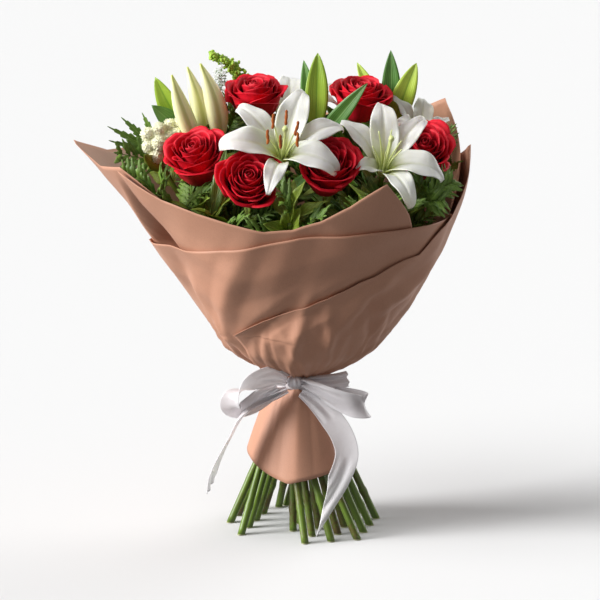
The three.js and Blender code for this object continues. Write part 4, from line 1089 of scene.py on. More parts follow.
for i, lily in enumerate(lilyForm["places"]):
    pick = np.random.default_rng(lilyForm["seed"] + i)
    rotation = turned(lily["facing"])
    base = np.array(lily["throat"]) - unit(lily["facing"]) * lilyForm["depth"]
    t = np.linspace(0, 1, 8)
    neck = tubes(np.array([[[0, 0, z] for z in 8 * t]]), 4.2 + 2.4 * t, 18, 0.2, 1)
    lumps = [lilyTepals(lily["tepals"], pick), neck]
    lumps += lilyStamens(lily, rotation.T @ vector(0.2, 0, 1), pick)
    lumps = [moved(lump, nodding(lily.get("nod", 0)) @ rotation, base) for lump in lumps]
    makePiece(f"lily_{i + 1}_bloom", lumps, ["lily", "pistil", "anther"], [f"lily_{i + 1}"])
print("lilies done")

budForm = {
    "places": [
        {"tip": [-136, -5, 494], "base": [-109, -5, 416], "radius": 9.4, "bow": [-3, 0, 0]},
        {"tip": [-121, 30, 499], "base": [-102, 24, 420], "radius": 9.4, "bow": [2, -2, 0]},
        {"tip": [-106, 5, 505], "base": [-86, 5, 422], "radius": 11, "bow": [4, -2, 0]},
    ],
    "sides": 36,
    "rows": 40,
    "fork": 385,  # height where the buds' stalks leave the stem
}


def lilyBud(bud):
    # A long drop: fullest below its middle, drawn out to a blunt tip, with three ridges and the
    # seams between them, and a slight bow to one side
    base, tip = np.array(bud["base"], float), np.array(bud["tip"], float)
    t = np.linspace(0, 1, budForm["rows"])[:, None]
    turn = fullTurn(budForm["sides"])
    swell = np.maximum(np.sin(np.pi * np.clip(0.07 + 0.91 * t ** 0.8, 0, 1)) ** 0.9, 0.12) * 1.04
    ridge = 1 + 0.13 * np.cos(3 * turn) - 0.05 * np.exp(-((np.abs(np.cos(1.5 * turn))) / 0.12) ** 2)
    rings = around(bud["radius"] * swell * ridge, turn, np.linalg.norm(tip - base) * t)
    rings = rings @ turned(tip - base).T + base
    rings = rings + vector(*bud["bow"]) * np.sin(np.pi * t)[..., None]
    return closedRings(rings[None], base[None], tip[None], endAcross=0.5)


for i, bud in enumerate(budForm["places"]):
    makePiece(f"lily_bud_{i + 1}_skin", [lilyBud(bud)], ["bud"], [f"lily_bud_{i + 1}"])
print("buds done")


# Stems

stemForm = {
    "spiral": 45,  # height over which a stem moves sideways by its own distance from the axis
    "spin": -1,
    "spacing": 7.55,
    "layers": 3,
    "footRadius": 4.1,
    "topRadius": 2.7,
    "taper": 400,
    "sides": 14,
    "straightPoints": 46,
    "bentPoints": 26,
    "gap": 0.3,
    "bump": 0.9,  # height of the swellings where leaves were
    "aside": {"lily_stem_2": 9.5, "green_stem_3": -10},  # how far these feet stand to the side
    "bendFrom": 110,  # height from which they go there
    "straight": [0.45, 110],  # how far a stem runs straight: share of its way up, and at most
    "pull": 0.4,  # how far the handles of its bend reach, as a share of the way
    "joints": [28, 62, 8],  # spacing and number of the old leaf joints
    "roseCap": 6.4,  # radius of a stem under its rose, and under its lily
    "lilyCap": 3.8,
    # top and facing of each stem without a rose or lily
    "greens": {
        "bud_stem": [[-100, 9, 398], [-0.2, 0, 1]],
        "cream_stem": [[-146, -4, 396], [-0.4, 0.1, 0.9]],
        "goldenrod_stem": [[-62, 56, 448], [-0.05, 0, 1]],
        "sea_lavender_stem": [[-84, 42, 428], [0, 0.05, 1]],
        "fern_stem_1": [[-150, 30, 405], [-0.6, 0.2, 0.75]],
        "fern_stem_2": [[-150, -62, 372], [-0.7, -0.35, 0.6]],
        "fern_stem_3": [[158, -5, 400], [0.5, 0, 0.85]],
        "fern_stem_4": [[128, -68, 372], [0.55, -0.5, 0.65]],
        "lily_leaf_stem_1": [[17, 14, 440], [0, 0.05, 1]],
        "lily_leaf_stem_2": [[100, 42, 440], [0.15, 0.1, 1]],
        "lily_leaf_stem_3": [[-120, 30, 425], [-0.3, 0.1, 0.95]],
        "green_stem_1": [[-95, -85, 355], [-0.5, -0.45, 0.75]],
        "green_stem_2": [[-10, -105, 352], [0, -0.6, 0.8]],
        "green_stem_3": [[70, -98, 356], [0.35, -0.55, 0.75]],
        "green_stem_4": [[60, 90, 400], [0.3, 0.5, 0.8]],
        "green_stem_5": [[-70, 90, 400], [-0.3, 0.5, 0.8]],
    },
}


def onSpiral(place, height):
    # Where a stem that passes the waist at a place is, at heights above the waist
    k = stemForm["spin"] * np.asarray(height, float) / stemForm["spiral"]
    return np.stack([place[0] - k * place[1], place[1] + k * place[0], tieHeight + height + 0 * k], axis=-1)


def honeycomb():
    # Places side by side at the waist
    reach = stemForm["layers"]
    steps = range(-reach, reach + 1)
    return [np.array([stemForm["spacing"] * (a + b / 2), stemForm["spacing"] * b * 3 ** 0.5 / 2])
            for a in steps for b in steps if abs(a + b) <= reach]


freePlaces = honeycomb()


def takePlace(target):
    # The free place whose stem comes nearest to a point above the waist
    k = stemForm["spin"] * (target[2] - tieHeight) / stemForm["spiral"]
    wanted = np.array([target[0] + k * target[1], target[1] - k * target[0]]) / (1 + k * k)
    away = [np.hypot(*(place - wanted)) for place in freePlaces]
    return freePlaces.pop(int(np.argmin(away)))


def stemCourse(top, facing):
    # Straight through the waist, then a cubic curve that reaches the flower along its facing
    place = takePlace(top)
    rise = top[2] - tieHeight
    share, most = stemForm["straight"]
    start = min(rise * share, most)
    straight = onSpiral(place, np.linspace(-tieHeight, start, stemForm["straightPoints"], endpoint=False))
    origin = onSpiral(place, start)
    heading = unit(onSpiral(place, start + 1) - origin)
    reach = np.linalg.norm(top - origin) * stemForm["pull"]
    t = np.linspace(0, 1, stemForm["bentPoints"])[:, None]
    bent = ((1 - t) ** 3 * origin + 3 * (1 - t) ** 2 * t * (origin + heading * reach)
            + 3 * (1 - t) * t ** 2 * (top - facing * reach) + t ** 3 * top)
    return np.concatenate([straight, bent])


def pointOn(course, height):
    # The point of a course at a height above the floor
    return np.array([np.interp(height, course[:, 2], course[:, i]) for i in range(3)])


def stemSkin(course, capRadius, seed):
    # The radius narrows with height, swells at the old leaf joints and widens under the flower
    pick = np.random.default_rng(seed)
    height = course[:, 2]
    share = np.clip(height / stemForm["taper"], 0, 1)
    radius = stemForm["footRadius"] + (stemForm["topRadius"] - stemForm["footRadius"]) * share
    joints = np.cumsum(pick.uniform(*stemForm["joints"])) - 10
    radius = radius + stemForm["bump"] * np.exp(-((height[:, None] - joints) / 2.6) ** 2).sum(axis=1)
    fromTop = np.linalg.norm(course - course[-1], axis=1)
    radius = radius + (capRadius - stemForm["topRadius"]) * np.exp(-(fromTop / 5.5) ** 2)
    tint = pick.uniform(0, 1)
    return tubes(course[None], radius, stemForm["sides"], tint, 0, level=True)


courses = {}
capRadii = {}


def addCourse(name, point, facing, depth, capRadius):
    # The course of the stem that ends at a depth under a point, against its facing
    facing = unit(facing)
    courses[name] = stemCourse(np.array(point) - facing * (depth + stemForm["gap"]), facing)
    capRadii[name] = capRadius


for i, rose in enumerate(roseForm["places"]):
    addCourse(f"rose_stem_{i + 1}", rose["centre"], rose["facing"], roseForm["depth"], stemForm["roseCap"])
for i, lily in enumerate(lilyForm["places"]):
    addCourse(f"lily_stem_{i + 1}", lily["throat"], lily["facing"], lilyForm["depth"], stemForm["lilyCap"])
for name, (top, facing) in stemForm["greens"].items():
    addCourse(name, top, facing, 0, stemForm["topRadius"])
for name, aside in stemForm["aside"].items():
    course = courses[name]
    course[:, 0] += aside * np.clip(1 - course[:, 2] / stemForm["bendFrom"], 0, 1) ** 1.3


# Leaves

leafForm = {
    # widest: share of the length, fold: degrees that the halves rise, wave in millimetres
    "kinds": {
        "lilyLeaf": {"rows": 20, "columns": 7, "widest": 0.46, "fold": 16, "wave": 0.5, "blunt": 0.75},
        "darkLilyLeaf": {"rows": 18, "columns": 7, "widest": 0.45, "fold": 14, "wave": 0.5, "blunt": 0.85},
        "leaflet": {"rows": 10, "columns": 3, "widest": 0.34, "fold": 12, "wave": 0.4, "blunt": 1.15,
                    "teeth": 3, "notch": 0.55},
        "roseLeaf": {"rows": 19, "columns": 5, "widest": 0.42, "fold": 20, "wave": 1.1,
                     "teeth": 6, "notch": 0.86},
        "serrated": {"rows": 28, "columns": 5, "widest": 0.36, "fold": 16, "wave": 0.6, "blunt": 1.1,
                     "teeth": 9, "notch": 0.6},
        "inner": {"rows": 13, "columns": 5, "widest": 0.45, "fold": 26, "wave": 2.4},
        "sepal": {"rows": 12, "columns": 5, "widest": 0.3, "fold": 18, "wave": 0.5},
    },
    "thickness": 0.45,
    "toothReach": 0.22,  # how far a tooth points forward, as a share of the width
    "rootHalf": 0.8,
}


def leafBlades(kind, roots, tips, bends, widths, material, tints=None):
    # Blades bent along a quadratic curve from root to tip. The half width follows a quarter sine up
    # to the widest place and a quarter cosine from there on, cut by teeth that point forwards. The
    # two halves rise from the midrib, and the edges wave
    shape = leafForm["kinds"][kind]
    count = len(roots)
    if tints is None:
        tints = draw.uniform(0, 1, count)
    t = downRows(shape["rows"])
    u = overColumns(shape["columns"])
    one, two, three = roots[:, None], ((roots + tips) / 2 + bends)[:, None], tips[:, None]
    centre = bentLine(one, two, three, t)
    heading = unit(2 * (1 - t) * (two - one) + 2 * t * (three - two))
    side = unit(np.cross(unit(bends)[:, None], heading))
    face = np.cross(heading, side)
    widest = shape["widest"]
    rising, sinking = np.sin(np.pi / 2 * t / widest), np.cos(np.pi / 2 * (t - widest) / (1 - widest))
    width = widths[:, None, None]
    half = width / 2 * np.maximum(np.where(t < widest, rising, sinking), 0) ** shape.get("blunt", 1)
    tooth, notch = 0 * t, shape.get("notch", 1)
    if "teeth" in shape:
        tooth = (t * shape["teeth"]) % 1
        tooth = np.where(tooth < 0.72, tooth / 0.72, (1 - tooth) / 0.28)
        half = half * (notch + (1 - notch) * tooth)
    half = np.maximum(half, leafForm["rootHalf"] * (1 - t ** 3) + 0.12)
    fold = np.radians(shape["fold"])
    phase = 11 * t + 2.2 * np.sign(u) + draw.uniform(0, 6, (count, 1, 1))
    wave = shape["wave"] * np.abs(u) ** 1.5 * np.sin(phase) * np.sin(np.pi * t)
    forward = leafForm["toothReach"] * width * tooth * np.abs(u) * (1 - notch)
    rise = half * np.abs(u) * np.sin(fold) + wave
    grids = (centre[:, :, None] + side[:, :, None] * (half * u * np.cos(fold))[..., None]
             + face[:, :, None] * rise[..., None] + heading[:, :, None] * forward[..., None])
    return shells(insideWrap(grids), leafForm["thickness"], tints, material)


def bendOf(roots, tips, facings, arch):
    # Bend at right angles to each leaf, towards the side that it faces
    way = tips - roots
    heading = unit(way)
    across = facings - heading * np.sum(facings * heading, axis=1, keepdims=True)
    return unit(across) * np.linalg.norm(way, axis=1, keepdims=True) * arch


foliage = {
    # leaves at named tips, by stem: height of the root, tip, width, kind, and for some their facing
    "named": {
        "lily_leaf_stem_1": [
            [428, [19, 20, 515], 20, "lilyLeaf"], [420, [4, 34, 506], 15, "darkLilyLeaf"],
            [415, [71, -28, 488], 15, "darkLilyLeaf"],
        ],
        "lily_leaf_stem_2": [
            [430, [125, 32, 503], 20, "lilyLeaf"], [432, [98, 50, 515], 17, "darkLilyLeaf"],
            [425, [62, 66, 500], 14, "lilyLeaf"],
        ],
        "lily_leaf_stem_3": [
            [420, [-155, 20, 489], 20, "lilyLeaf", [-0.35, -1, 0.2]],
            [414, [-158, 2, 461], 22, "darkLilyLeaf", [-0.1, -0.9, 0.6]],
        ],
        "fern_stem_1": [
            [402, [-206, 6, 438], 11, "serrated"], [404, [-192, 20, 446], 11, "serrated"],
            [403, [-170, 28, 450], 10, "serrated"], [400, [-204, -4, 424], 11, "serrated"],
            [392, [-196, -14, 412], 20, "fern"],
        ],
        "sea_lavender_stem": [[424, [-74, 36, 471], 13, "fern"], [416, [-66, 20, 453], 13, "fern"]],
        "goldenrod_stem": [[430, [-84, 30, 458], 12, "fern"]],
        "green_stem_1": [
            [350, [-77, -60, 424], 13, "roseLeaf"], [346, [-86, -66, 408], 11, "roseLeaf"],
        ],
        "fern_stem_2": [
            [370, [-186, -60, 398], 20, "fern"], [366, [-172, -92, 380], 20, "fern"],
            [360, [-140, -105, 372], 18, "fern"],
        ],
        "fern_stem_3": [
            [398, [162, 4, 440], 9, "fern"], [392, [180, -20, 404], 9, "serrated"],
            [396, [160, -6, 410], 9, "serrated"],
        ],
        "fern_stem_4": [
            [370, [162, -56, 388], 16, "fern"], [366, [150, -84, 372], 20, "fern"],
            [358, [118, -102, 366], 18, "fern"],
        ],
    },
    # leaves by rule: how many, between which heights, length, width, kind
    "rule": {
        "rose_stem_1": [9, 300, 382, 50, 24, "roseLeaf"],
        "rose_stem_2": [9, 285, 362, 46, 23, "roseLeaf"],
        "rose_stem_3": [9, 290, 370, 46, 23, "roseLeaf"],
        "rose_stem_4": [10, 320, 438, 52, 26, "roseLeaf"],
        "rose_stem_5": [10, 320, 438, 52, 26, "roseLeaf"],
        "rose_stem_6": [9, 300, 388, 50, 24, "roseLeaf"],
        "lily_stem_1": [8, 300, 385, 58, 13, "darkLilyLeaf"],
        "lily_stem_2": [8, 295, 372, 58, 13, "darkLilyLeaf"],
        "lily_stem_3": [10, 320, 425, 62, 14, "darkLilyLeaf"],
        "lily_stem_4": [9, 310, 400, 50, 14, "darkLilyLeaf"],
        "bud_stem": [8, 310, 395, 52, 13, "darkLilyLeaf"],
        "green_stem_1": [12, 285, 356, 44, 20, "inner"],
        "green_stem_2": [12, 285, 352, 42, 20, "inner"],
        "green_stem_3": [12, 285, 356, 44, 20, "inner"],
        "green_stem_4": [13, 300, 408, 62, 27, "roseLeaf"],
        "green_stem_5": [13, 300, 408, 62, 27, "roseLeaf"],
        "fern_stem_1": [3, 320, 408, 40, 17, "fern"],
        "fern_stem_2": [7, 310, 374, 42, 18, "fern"],
        "fern_stem_3": [4, 320, 372, 36, 16, "fern"],
        "fern_stem_4": [7, 310, 374, 42, 18, "fern"],
        "lily_leaf_stem_1": [6, 330, 430, 60, 15, "darkLilyLeaf"],
        "lily_leaf_stem_2": [6, 330, 430, 58, 15, "lilyLeaf"],
        "lily_leaf_stem_3": [5, 330, 415, 50, 14, "darkLilyLeaf"],
        "goldenrod_stem": [9, 330, 445, 34, 7, "darkLilyLeaf"],
        "sea_lavender_stem": [6, 320, 420, 40, 12, "inner"],
        "cream_stem": [6, 310, 390, 42, 16, "inner"],
    },
    "clearRose": 33,
    "clearLily": 15,
    "paperMargin": 9,
    "turnShare": 0.62,  # of the golden angle, from leaf to leaf up a stem
    "frondPairs": 6,
    # fronds and leaves with tips along the paper's edge, and with tips between the flowers
    "rim": {"count": 84, "below": [0, 26], "inside": [4, 16], "length": [48, 84], "highest": 262,
            "bare": 356, "bareWidth": 40, "bareBelow": 62},
    "between": {"count": 110, "reach": 138, "height": [352, 414], "length": [40, 66]},
    "leftmost": -168,
    "frondWidth": [15, 20],
    "leafWidth": [14, 23],
    "rootShare": 0.62,  # how far below its tip such a leaf starts, as a share of its length
    "carriers": [
        "fern_stem_1", "fern_stem_2", "fern_stem_3", "fern_stem_4", "green_stem_1", "green_stem_2",
        "green_stem_3", "green_stem_4", "green_stem_5", "lily_leaf_stem_1", "lily_leaf_stem_2",
        "lily_leaf_stem_3", "bud_stem", "cream_stem",
    ],
}
flowerPoints = np.array([rose["centre"] for rose in roseForm["places"]], float)
throatPoints = np.array([lily["throat"] for lily in lilyForm["places"]], float)


def clearOf(points, centres, distance):
    return np.linalg.norm(points[:, None] - centres, axis=-1).min(axis=1) > distance


def ruledLeaves(name):
    # Leaves that leave the stem outwards, turn by turn, and rise at about half a right angle
    count, low, high, length, width, kind = foliage["rule"][name]
    roots = np.array([pointOn(courses[name], height) for height in np.linspace(low, high, count)])
    outward = np.radians(goldenTurn) * np.arange(count) * foliage["turnShare"]
    outward = np.arctan2(roots[:, 1], roots[:, 0]) + outward + draw.uniform(-0.4, 0.4, count)
    steep = np.radians(42 + draw.uniform(-20, 24, count))
    way = around(np.cos(steep), outward, np.sin(steep))
    tips = roots + way * (length * draw.uniform(0.85, 1.15, count))[:, None]
    tips = insideWrap(tips, foliage["paperMargin"])
    clear = foliage["clearRose"]
    keep = clearOf(tips, flowerPoints, clear) & clearOf((roots + tips) / 2, flowerPoints, clear - 6)
    keep &= clearOf(tips, throatPoints, foliage["clearLily"])
    roots, tips = roots[keep], tips[keep]
    facings = unit(roots * vector(1, 1, 0)) + vector(0, 0, 0.6)
    return kind, roots, tips, facings, width * draw.uniform(0.85, 1.15, len(roots))


def compound(kind, roots, tips, facings, widths, material):
    # Each leaf is a stalk with one leaflet at its end and two at its sides
    way = tips - roots
    heading = unit(way)
    length = np.linalg.norm(way, axis=1, keepdims=True)
    side = unit(np.cross(bendOf(roots, tips, facings, 0.1), heading)) * 0.8
    fork = roots + way * 0.38
    leaflets = [
        [roots + way * 0.45, tips, 0.84],
        [fork, fork + (heading * 0.55 + side) * length * 0.5, 0.62],
        [fork, fork + (heading * 0.55 - side) * length * 0.5, 0.62],
    ]
    lumps = [leafBlades(kind, start, end, bendOf(start, end, facings, 0.12), widths * share, material)
             for start, end, share in leaflets]
    t = downRows(5)
    return [*lumps, tubes(roots[:, None] + (leaflets[0][0] - roots)[:, None] * t, 0.9, 6, 0.3)]


def fronds(roots, tips, facings, widths, material):
    # Feathery leaves: pointed leaflets in pairs along a bent stalk, longest near its middle and
    # slanted forwards, with one more at its end
    pairs = foliage["frondPairs"]
    bends = bendOf(roots, tips, facings, 0.14)
    line = roots[:, None], ((roots + tips) / 2 + bends)[:, None], tips[:, None]
    course = bentLine(*line, np.linspace(0, 1, 12)[:, None])
    at = np.linspace(0.28, 0.9, pairs)[:, None]
    starts = bentLine(*line, at)
    heading = unit(tips - roots)[:, None]
    side = unit(np.cross(bends, heading[:, 0]))[:, None]
    reach = widths[:, None, None] * (0.5 + 1.0 * np.sin(np.pi * (0.08 + at * 0.86)))
    lift = facings[:, None] * 0.12
    begin, look = starts.reshape(-1, 3), np.repeat(facings, pairs, axis=0)
    lumps = []
    for hand in (-1, 1):
        way = unit(heading * 0.85 + side * hand * 0.9 + lift + draw.normal(0, 0.12, starts.shape)) * reach
        end = (starts + way).reshape(-1, 3)
        bends, lengths = bendOf(begin, end, look, 0.14), np.linalg.norm(end - begin, axis=1)
        lumps.append(leafBlades("leaflet", begin, end, bends, lengths * 0.36, material))
    last = starts[:, -1]
    end, bends = tips + (tips - last) * 0.3, bendOf(last, tips, facings, 0.1)
    lumps.append(leafBlades("leaflet", last, end, bends, widths * 0.32, material))
    return [*lumps, tubes(insideWrap(course), np.linspace(0.9, 0.45, 12), 5, 0.4)]


def spreadLeaves():
    # Tips along the edge of the paper and in the gaps between the flowers. Each leaf grows from the
    # carrying stem that is nearest at the height of its root
    rim, between = foliage["rim"], foliage["between"]
    count = rim["count"]
    turn = 360 / count * np.arange(count) + draw.uniform(-2, 2, count)
    crest = np.max([np.where((at >= sheet["from"]) & (at <= sheet["to"]), listValue(sheet["top"], at), 0)
                    for sheet in paperForm["sheets"].values() for at in (turn, turn + 360)], axis=0)
    bare = np.abs((turn - rim["bare"] + 180) % 360 - 180) < rim["bareWidth"]
    height = crest - draw.uniform(*rim["below"], count) - rim["bareBelow"] * bare
    height = np.clip(height, 0, rim["highest"])
    radius = paperRoom(turn, height) - draw.uniform(*rim["inside"], count)
    edge = around(radius, np.radians(turn), tieHeight + height)
    count = between["count"]
    order = np.arange(count)
    radius = between["reach"] * np.sqrt((order + 0.5) / count)
    gap = around(radius, np.radians(goldenTurn) * order, draw.uniform(*between["height"], count))
    tips = np.concatenate([edge, insideWrap(gap, foliage["paperMargin"])])
    rimLengths = draw.uniform(*rim["length"], len(edge))
    lengths = np.concatenate([rimLengths, draw.uniform(*between["length"], count)])
    keep = clearOf(tips, flowerPoints, foliage["clearRose"]) & (tips[:, 0] > foliage["leftmost"])
    keep &= clearOf(tips, throatPoints, foliage["clearLily"] + 8)
    feathery = np.concatenate([np.arange(len(edge)) % 2 == 0, order % 4 == 0])
    found = {name: [] for name in foliage["carriers"]}
    for tip, length, isFrond in zip(tips[keep], lengths[keep], feathery[keep]):
        options = []
        for name in foliage["carriers"]:
            level = min(tip[2] - length * foliage["rootShare"], courses[name][-1, 2] - 2)
            root = pointOn(courses[name], level)
            options.append((abs(np.linalg.norm(root - tip) - length), name, root))
        _, name, root = min(options, key=lambda option: option[0])
        found[name].append((root, tip, isFrond))
    return {name: [np.array(column) for column in zip(*rows)] for name, rows in found.items() if rows}


def stemPiece(name, extra=(), extraMaterials=()):
    # One stem with all its leaves: material 0 is the stem's skin, the next ones its leaves
    kinds = ["stem"]
    lumps = [stemSkin(courses[name], capRadii[name], sum(map(ord, name)))]

    def index(kind):
        if kind not in kinds:
            kinds.append(kind)
        return kinds.index(kind)

    for height, tip, width, kind, *turnedTo in foliage["named"].get(name, []):
        root, end = pointOn(courses[name], height)[None], np.array([tip], float)
        look = np.array(turnedTo or [[0, -1, 0.3]], float)
        if kind == "fern":
            lumps += fronds(root, end, look, np.array([width * 0.9]), index(kind))
            continue
        finish = index("fern" if kind == "serrated" else kind)
        bends = bendOf(root, end, look, 0.1)
        lumps.append(leafBlades(kind, root, end, bends, np.array([width * 1.3]), finish))
    if name in spreadFound:
        roots, tips, feathery = spreadFound[name]
        look = unit(roots * vector(1, 1, 0)) * 0.4 + vector(0, -0.25, 0.9)
        whole = ~feathery
        if feathery.any():
            widths = draw.uniform(*foliage["frondWidth"], feathery.sum())
            lumps += fronds(roots[feathery], tips[feathery], look[feathery], widths, index("fern"))
        if whole.any():
            widths = draw.uniform(*foliage["leafWidth"], whole.sum())
            bends = bendOf(roots[whole], tips[whole], look[whole], 0.16)
            lumps.append(leafBlades("inner", roots[whole], tips[whole], bends, widths, index("inner")))
    if name in foliage["rule"]:
        kind, roots, tips, facings, widths = ruledLeaves(name)
        if len(roots) and kind == "roseLeaf":
            lumps += compound(kind, roots, tips, facings, widths, index(kind))
        elif len(roots) and kind == "fern":
            lumps += fronds(roots, tips, facings, widths, index(kind))
        elif len(roots):
            bends = bendOf(roots, tips, facings, 0.12)
            lumps.append(leafBlades(kind, roots, tips, bends, widths, index(kind)))
    for lump, kind in zip(extra, extraMaterials):
        lumps.append({**lump, "material": index(kind)})
    makePiece(name + "_skin", lumps, kinds, [name])


def sepals(rose):
    # Five narrow green leaves that turn back under the bloom
    facing = unit(rose["facing"])
    root = np.array(rose["centre"]) - facing * (roseForm["depth"] + 2)
    first = unit(np.cross(facing, vector(0, 0, 1)))
    turn = np.radians(72 * np.arange(5) + 15)[:, None]
    out = first * np.cos(turn) + np.cross(facing, first) * np.sin(turn)
    tips = root + out * 25 - facing * 8 + draw.uniform(-2, 2, (5, 3))
    bends = np.broadcast_to(facing * 4, (5, 3))
    return leafBlades("sepal", root + out * 3, tips, bends, np.full(5, 9.0), 0, np.full(5, 0.7))


spreadFound = spreadLeaves()
for i, rose in enumerate(roseForm["places"]):
    stemPiece(f"rose_stem_{i + 1}", [sepals(rose)], ["inner"])
for i in range(len(lilyForm["places"])):
    stemPiece(f"lily_stem_{i + 1}")


def budStalks():
    # A stalk from the fork of the stem to each bud, a little thicker at its end
    lumps = []
    fork = pointOn(courses["bud_stem"], budForm["fork"])
    for bud in budForm["places"]:
        way = unit(np.subtract(bud["tip"], bud["base"]))
        end = bud["base"] - way * stemForm["gap"]
        path = throughPoints([fork, end - way * 8, end], 14)
        lumps.append(tubes(path[None], 2.2 + 0.9 * smooth(0.7, 1, np.linspace(0, 1, 14)), 10, 0.2))
    return lumps


stemPiece("bud_stem", budStalks(), ["stem"] * 3)
for name in stemForm["greens"]:
    if name.startswith(("fern", "green")):
        stemPiece(name)
    elif name.startswith("lily_leaf"):
        stemPiece(name)
print("stems and leaves done")


# Sprays and florets

sprayForm = {
    "goldenrod": {
        "path": [[-62, 56, 444], [-61, 56, 469], [-73, 54, 493], [-96, 49, 510]],
        "twigs": 46, "reach": 13, "steep": 0.9, "budsEach": 12, "bud": 1.75,
    },
    "seaLavender": {
        "path": [[-84, 42, 424], [-84, 43, 448], [-86, 44, 472], [-87, 44, 490]],
        "twigs": 20, "reach": 20, "steep": 0.8, "petals": 5, "flower": 2.4, "middle": [-86, 43, 440],
    },
    "cream": {
        "core": [-150, 2, 426], "coreRadius": 12, "tuftRadius": 7.6, "bristles": 330, "bristle": 2.6,
        "spiral": 137.508, "stalkEnd": [-150, 2, 424],
        "tufts": [
            [-162, -3, 430], [-150, -4, 436], [-161, -8, 418], [-150, -10, 421], [-139, 4, 439],
            [-158, 8, 424], [-139, -2, 427], [-150, 14, 434], [-153, -9, 408], [-140, -6, 414],
            [-129, 6, 440], [-131, 0, 430],
        ],
    },
}


def smallBall(rows, sides, stretch=1.0):
    # A ball as rings between two poles
    angle = np.linspace(0.02, np.pi - 0.02, rows + 1)
    path = around(0, angle, -np.cos(angle) * stretch)
    return tubes(path[None], np.sin(angle), sides, across=vector(1, 0, 0)[None])


def smallFlower(petals):
    # Petals as small closed blades round a centre, cupped upwards
    t = downRows(4)
    u = overColumns(3)
    turn = np.radians(360 / petals * np.arange(petals))[:, None, None]
    wide = 0.5 * np.sin(np.pi * np.clip(0.12 + 0.8 * t, 0, 1))
    return shells(around(t, turn, 0.35 * t ** 2 + 0.2 * u ** 2, wide * u), 0.12)


def sprayTwigs(form, rows, bow):
    # Short twigs leave a bending stalk turn by turn by the golden angle, and bow upwards
    count = form["twigs"]
    at = np.linspace(0.12, 1, count)
    stalk = throughPoints(form["path"], 60)
    roots = stalk[np.minimum((at * 59).astype(int), 59)]
    out = unit(around(1, np.radians(goldenTurn) * np.arange(count), form["steep"]))
    ends = roots + out * (form["reach"] * (1.3 - at) * draw.uniform(0.8, 1.1, count))[:, None]
    t = downRows(rows)
    twigs = roots[:, None] + (ends - roots)[:, None] * t + vector(0, 0, bow) * np.sin(np.pi * t)
    return stalk, roots, ends, twigs, t


def goldenrod():
    # Buds all along the twigs, and round the upper part of the stalk
    form = sprayForm["goldenrod"]
    stalk, roots, ends, twigs, _ = sprayTwigs(form, 5, 1.2)
    each = form["budsEach"]
    share = np.linspace(0.25, 1.05, each)[None, :, None]
    places = roots[:, None] + (ends - roots)[:, None] * share + draw.normal(0, 1.1, (len(roots), each, 3))
    along = throughPoints(form["path"], 90)[35:]
    crown = np.repeat(along, 4, axis=0) + draw.normal(0, 1.3, (len(along) * 4, 3))
    places = np.concatenate([places.reshape(-1, 3), crown])
    rotations = frames(draw.normal(0, 1, places.shape) + vector(0, 0, 1.5), draw.uniform(0, 6, len(places)))
    sizes = form["bud"] * draw.uniform(0.7, 1.2, len(places))
    buds = copies(smallBall(4, 5, 1.35), places, rotations, sizes, draw.uniform(0, 1, len(places)))
    return [tubes(stalk[None], np.linspace(1.6, 0.7, len(stalk)), 8, 0.2), tubes(twigs, 0.4, 5, 0.2), buds]


def seaLavender():
    # Each twig forks in three, with a flower at the fork and at every tip
    form = sprayForm["seaLavender"]
    stalk, roots, ends, twigs, t = sprayTwigs(form, 6, 2)
    side = draw.normal(0, 1, (len(roots) * 3, 3)) + vector(0, 0, 1.2)
    forks = np.repeat(twigs[:, 3], 3, axis=0)
    tips = forks + unit(side) * draw.uniform(4, 8, (len(side), 1))
    branches = forks[:, None] * (1 - t) + tips[:, None] * t
    places = np.concatenate([ends, tips, twigs[:, 3]])
    facings = unit(places - form["middle"]) + vector(0, -0.6, 0.5)
    rotations = frames(facings, draw.uniform(0, 6, len(places)))
    sizes = form["flower"] * draw.uniform(0.7, 1.15, len(places))
    flowers = copies(smallFlower(form["petals"]), places, rotations, sizes, draw.uniform(0, 1, len(places)))
    return [tubes(stalk[None], np.linspace(1.4, 0.5, len(stalk)), 8, 0.3), tubes(twigs, 0.35, 5, 0.3),
            tubes(branches, 0.28, 4, 0.3), flowers]


def creamHead():
    # Short bristles stand all over each round tuft, spread by the golden spiral and leaning every way
    form = sprayForm["cream"]
    count = form["bristles"]
    order = np.arange(count)
    z = 1 - 2 * (order + 0.5) / count
    directions = around(np.sqrt(1 - z * z), np.radians(form["spiral"]) * order, z)
    lumps = []
    for tuft in form["tufts"]:
        centre = np.array(tuft, float)
        radius = form["tuftRadius"] * draw.uniform(0.84, 1.06)
        roots = centre + directions * (radius - 1)
        lean = unit(directions + draw.normal(0, 0.4, directions.shape))
        ends = roots + lean * form["bristle"] * draw.uniform(0.6, 1.2, (count, 1))
        paths = np.stack([roots, (roots + ends) / 2, ends], axis=1)
        lumps.append(tubes(paths, vector(0.75, 0.7, 0.3), 3, draw.uniform(0.2, 1, count)))
        lumps.append(moved(smallBall(10, 14), np.eye(3), centre, radius))
    return [*lumps, moved(smallBall(12, 16), np.eye(3), vector(*form["core"]), form["coreRadius"])]


stemPiece("goldenrod_stem", goldenrod(), ["stem", "stem", "goldenrod"])
stemPiece("sea_lavender_stem", seaLavender(), ["twig", "twig", "twig", "tinyWhite"])
stemPiece("cream_stem")
creamFoot, creamFacing = stemForm["greens"]["cream_stem"]
creamNeck = creamFoot + unit(creamFacing) * 8
creamStalk = throughPoints([creamFoot, creamNeck, sprayForm["cream"]["stalkEnd"]], 16)
creamLumps = [*creamHead(), {**tubes(creamStalk[None], np.linspace(2.6, 5, 16), 10, 0.3), "material": 1}]
makePiece("cream_head_florets", creamLumps, ["cream", "stem"], ["cream_head"])


# Twine: two strands twisted about a ring, in two turns

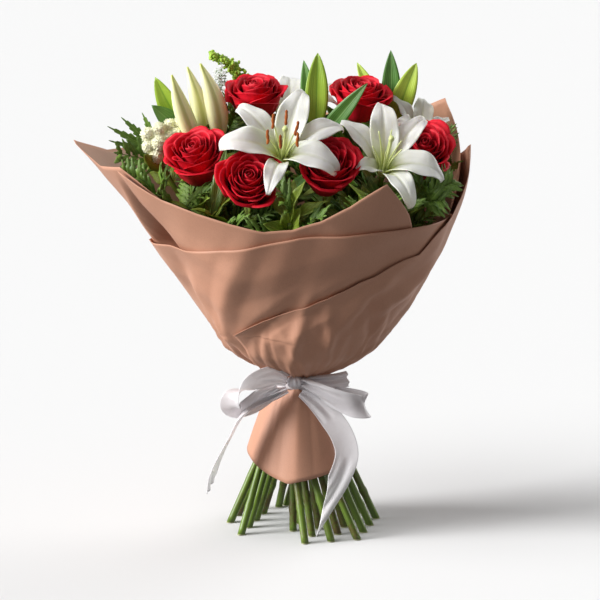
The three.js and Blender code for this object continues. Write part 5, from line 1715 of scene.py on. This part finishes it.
twineForm = {"radius": 30.2, "drop": 22, "levels": [-0.6, 0.6], "lay": 0.42, "strand": 0.434, "twists": 90}


def twineRing():
    # Each strand runs round the middle line of its turn of twine while that goes round the stems
    lumps = []
    turn = fullTurn(240)
    for level in twineForm["levels"]:
        for strand in (0, np.pi):
            spin = twineForm["twists"] * turn + strand
            radius = twineForm["radius"] + twineForm["lay"] * np.cos(spin)
            height = tieHeight - twineForm["drop"] + level + twineForm["lay"] * np.sin(spin)
            path = around(radius, turn, height)
            lumps.append(tubes(path[None], twineForm["strand"], 6, 0.5, across=vector(0, 0, 1)[None]))
    return lumps


makePiece("stem_twine_strands", twineRing(), ["twine"], ["stem_twine"])
print("florets and twine done")


# Floor, light and camera

stageForm = {
    "floor": "#dcdcdc",
    "floorHalf": 60,  # metres
    "floorLevel": -0.0004,
    "elevation": 11,
    "distance": 2800,
    "aim": 250,
    "focal": 155.6,
    "world": 0.22,
    # each light: the way it comes from, its strength, and its spread in degrees
    "lights": {
        "keyLight": [[-1.5, -0.36, 0.6], 4.8, 26],
        "topLight": [[-0.7, -0.35, 1.0], 1.5, 45],
        "rimLight": [[0.9, 0.8, 0.5], 1.5, 50],
    },
}
floorMesh = bpy.data.meshes.new("floor")
half, level = stageForm["floorHalf"], stageForm["floorLevel"]
corners = [(-half, -half, level), (half, -half, level), (half, half, level), (-half, half, level)]
floorMesh.from_pydata(corners, [], [(0, 1, 2, 3)])
floorMesh.materials.append(newMaterial("paleFloor", 0.9, **{"Base Color": stageForm["floor"]})[0])
floor = newObject("floor", floorMesh)
floor.visible_diffuse = False  # the floor throws no light up under the paper

for name, (way, strength, spread) in stageForm["lights"].items():
    light = bpy.data.lights.new(name, "SUN")
    light.energy = strength
    light.angle = np.radians(spread)
    x, y, z = unit(way)
    newObject(name, light).rotation_euler = (np.arccos(z), 0, np.arctan2(x, -y))

world = bpy.data.worlds.new("studio")
world.use_nodes = True
world.node_tree.nodes["Background"].inputs[0].default_value = (1, 1, 1, 1)
world.node_tree.nodes["Background"].inputs[1].default_value = stageForm["world"]
bpy.context.scene.world = world
bpy.context.scene.view_settings.view_transform = "Standard"

elevation = np.radians(stageForm["elevation"])
ahead = vector(0, np.cos(elevation), -np.sin(elevation))
cameraData = bpy.data.cameras.new("camera")
cameraData.lens = stageForm["focal"]
cameraData.sensor_width = 36
camera = newObject("camera", cameraData)
camera.rotation_euler = (np.pi / 2 - elevation, 0, 0)
camera.location = (vector(0, 0, stageForm["aim"]) - ahead * stageForm["distance"] + axis) * metre
bpy.context.scene.camera = camera
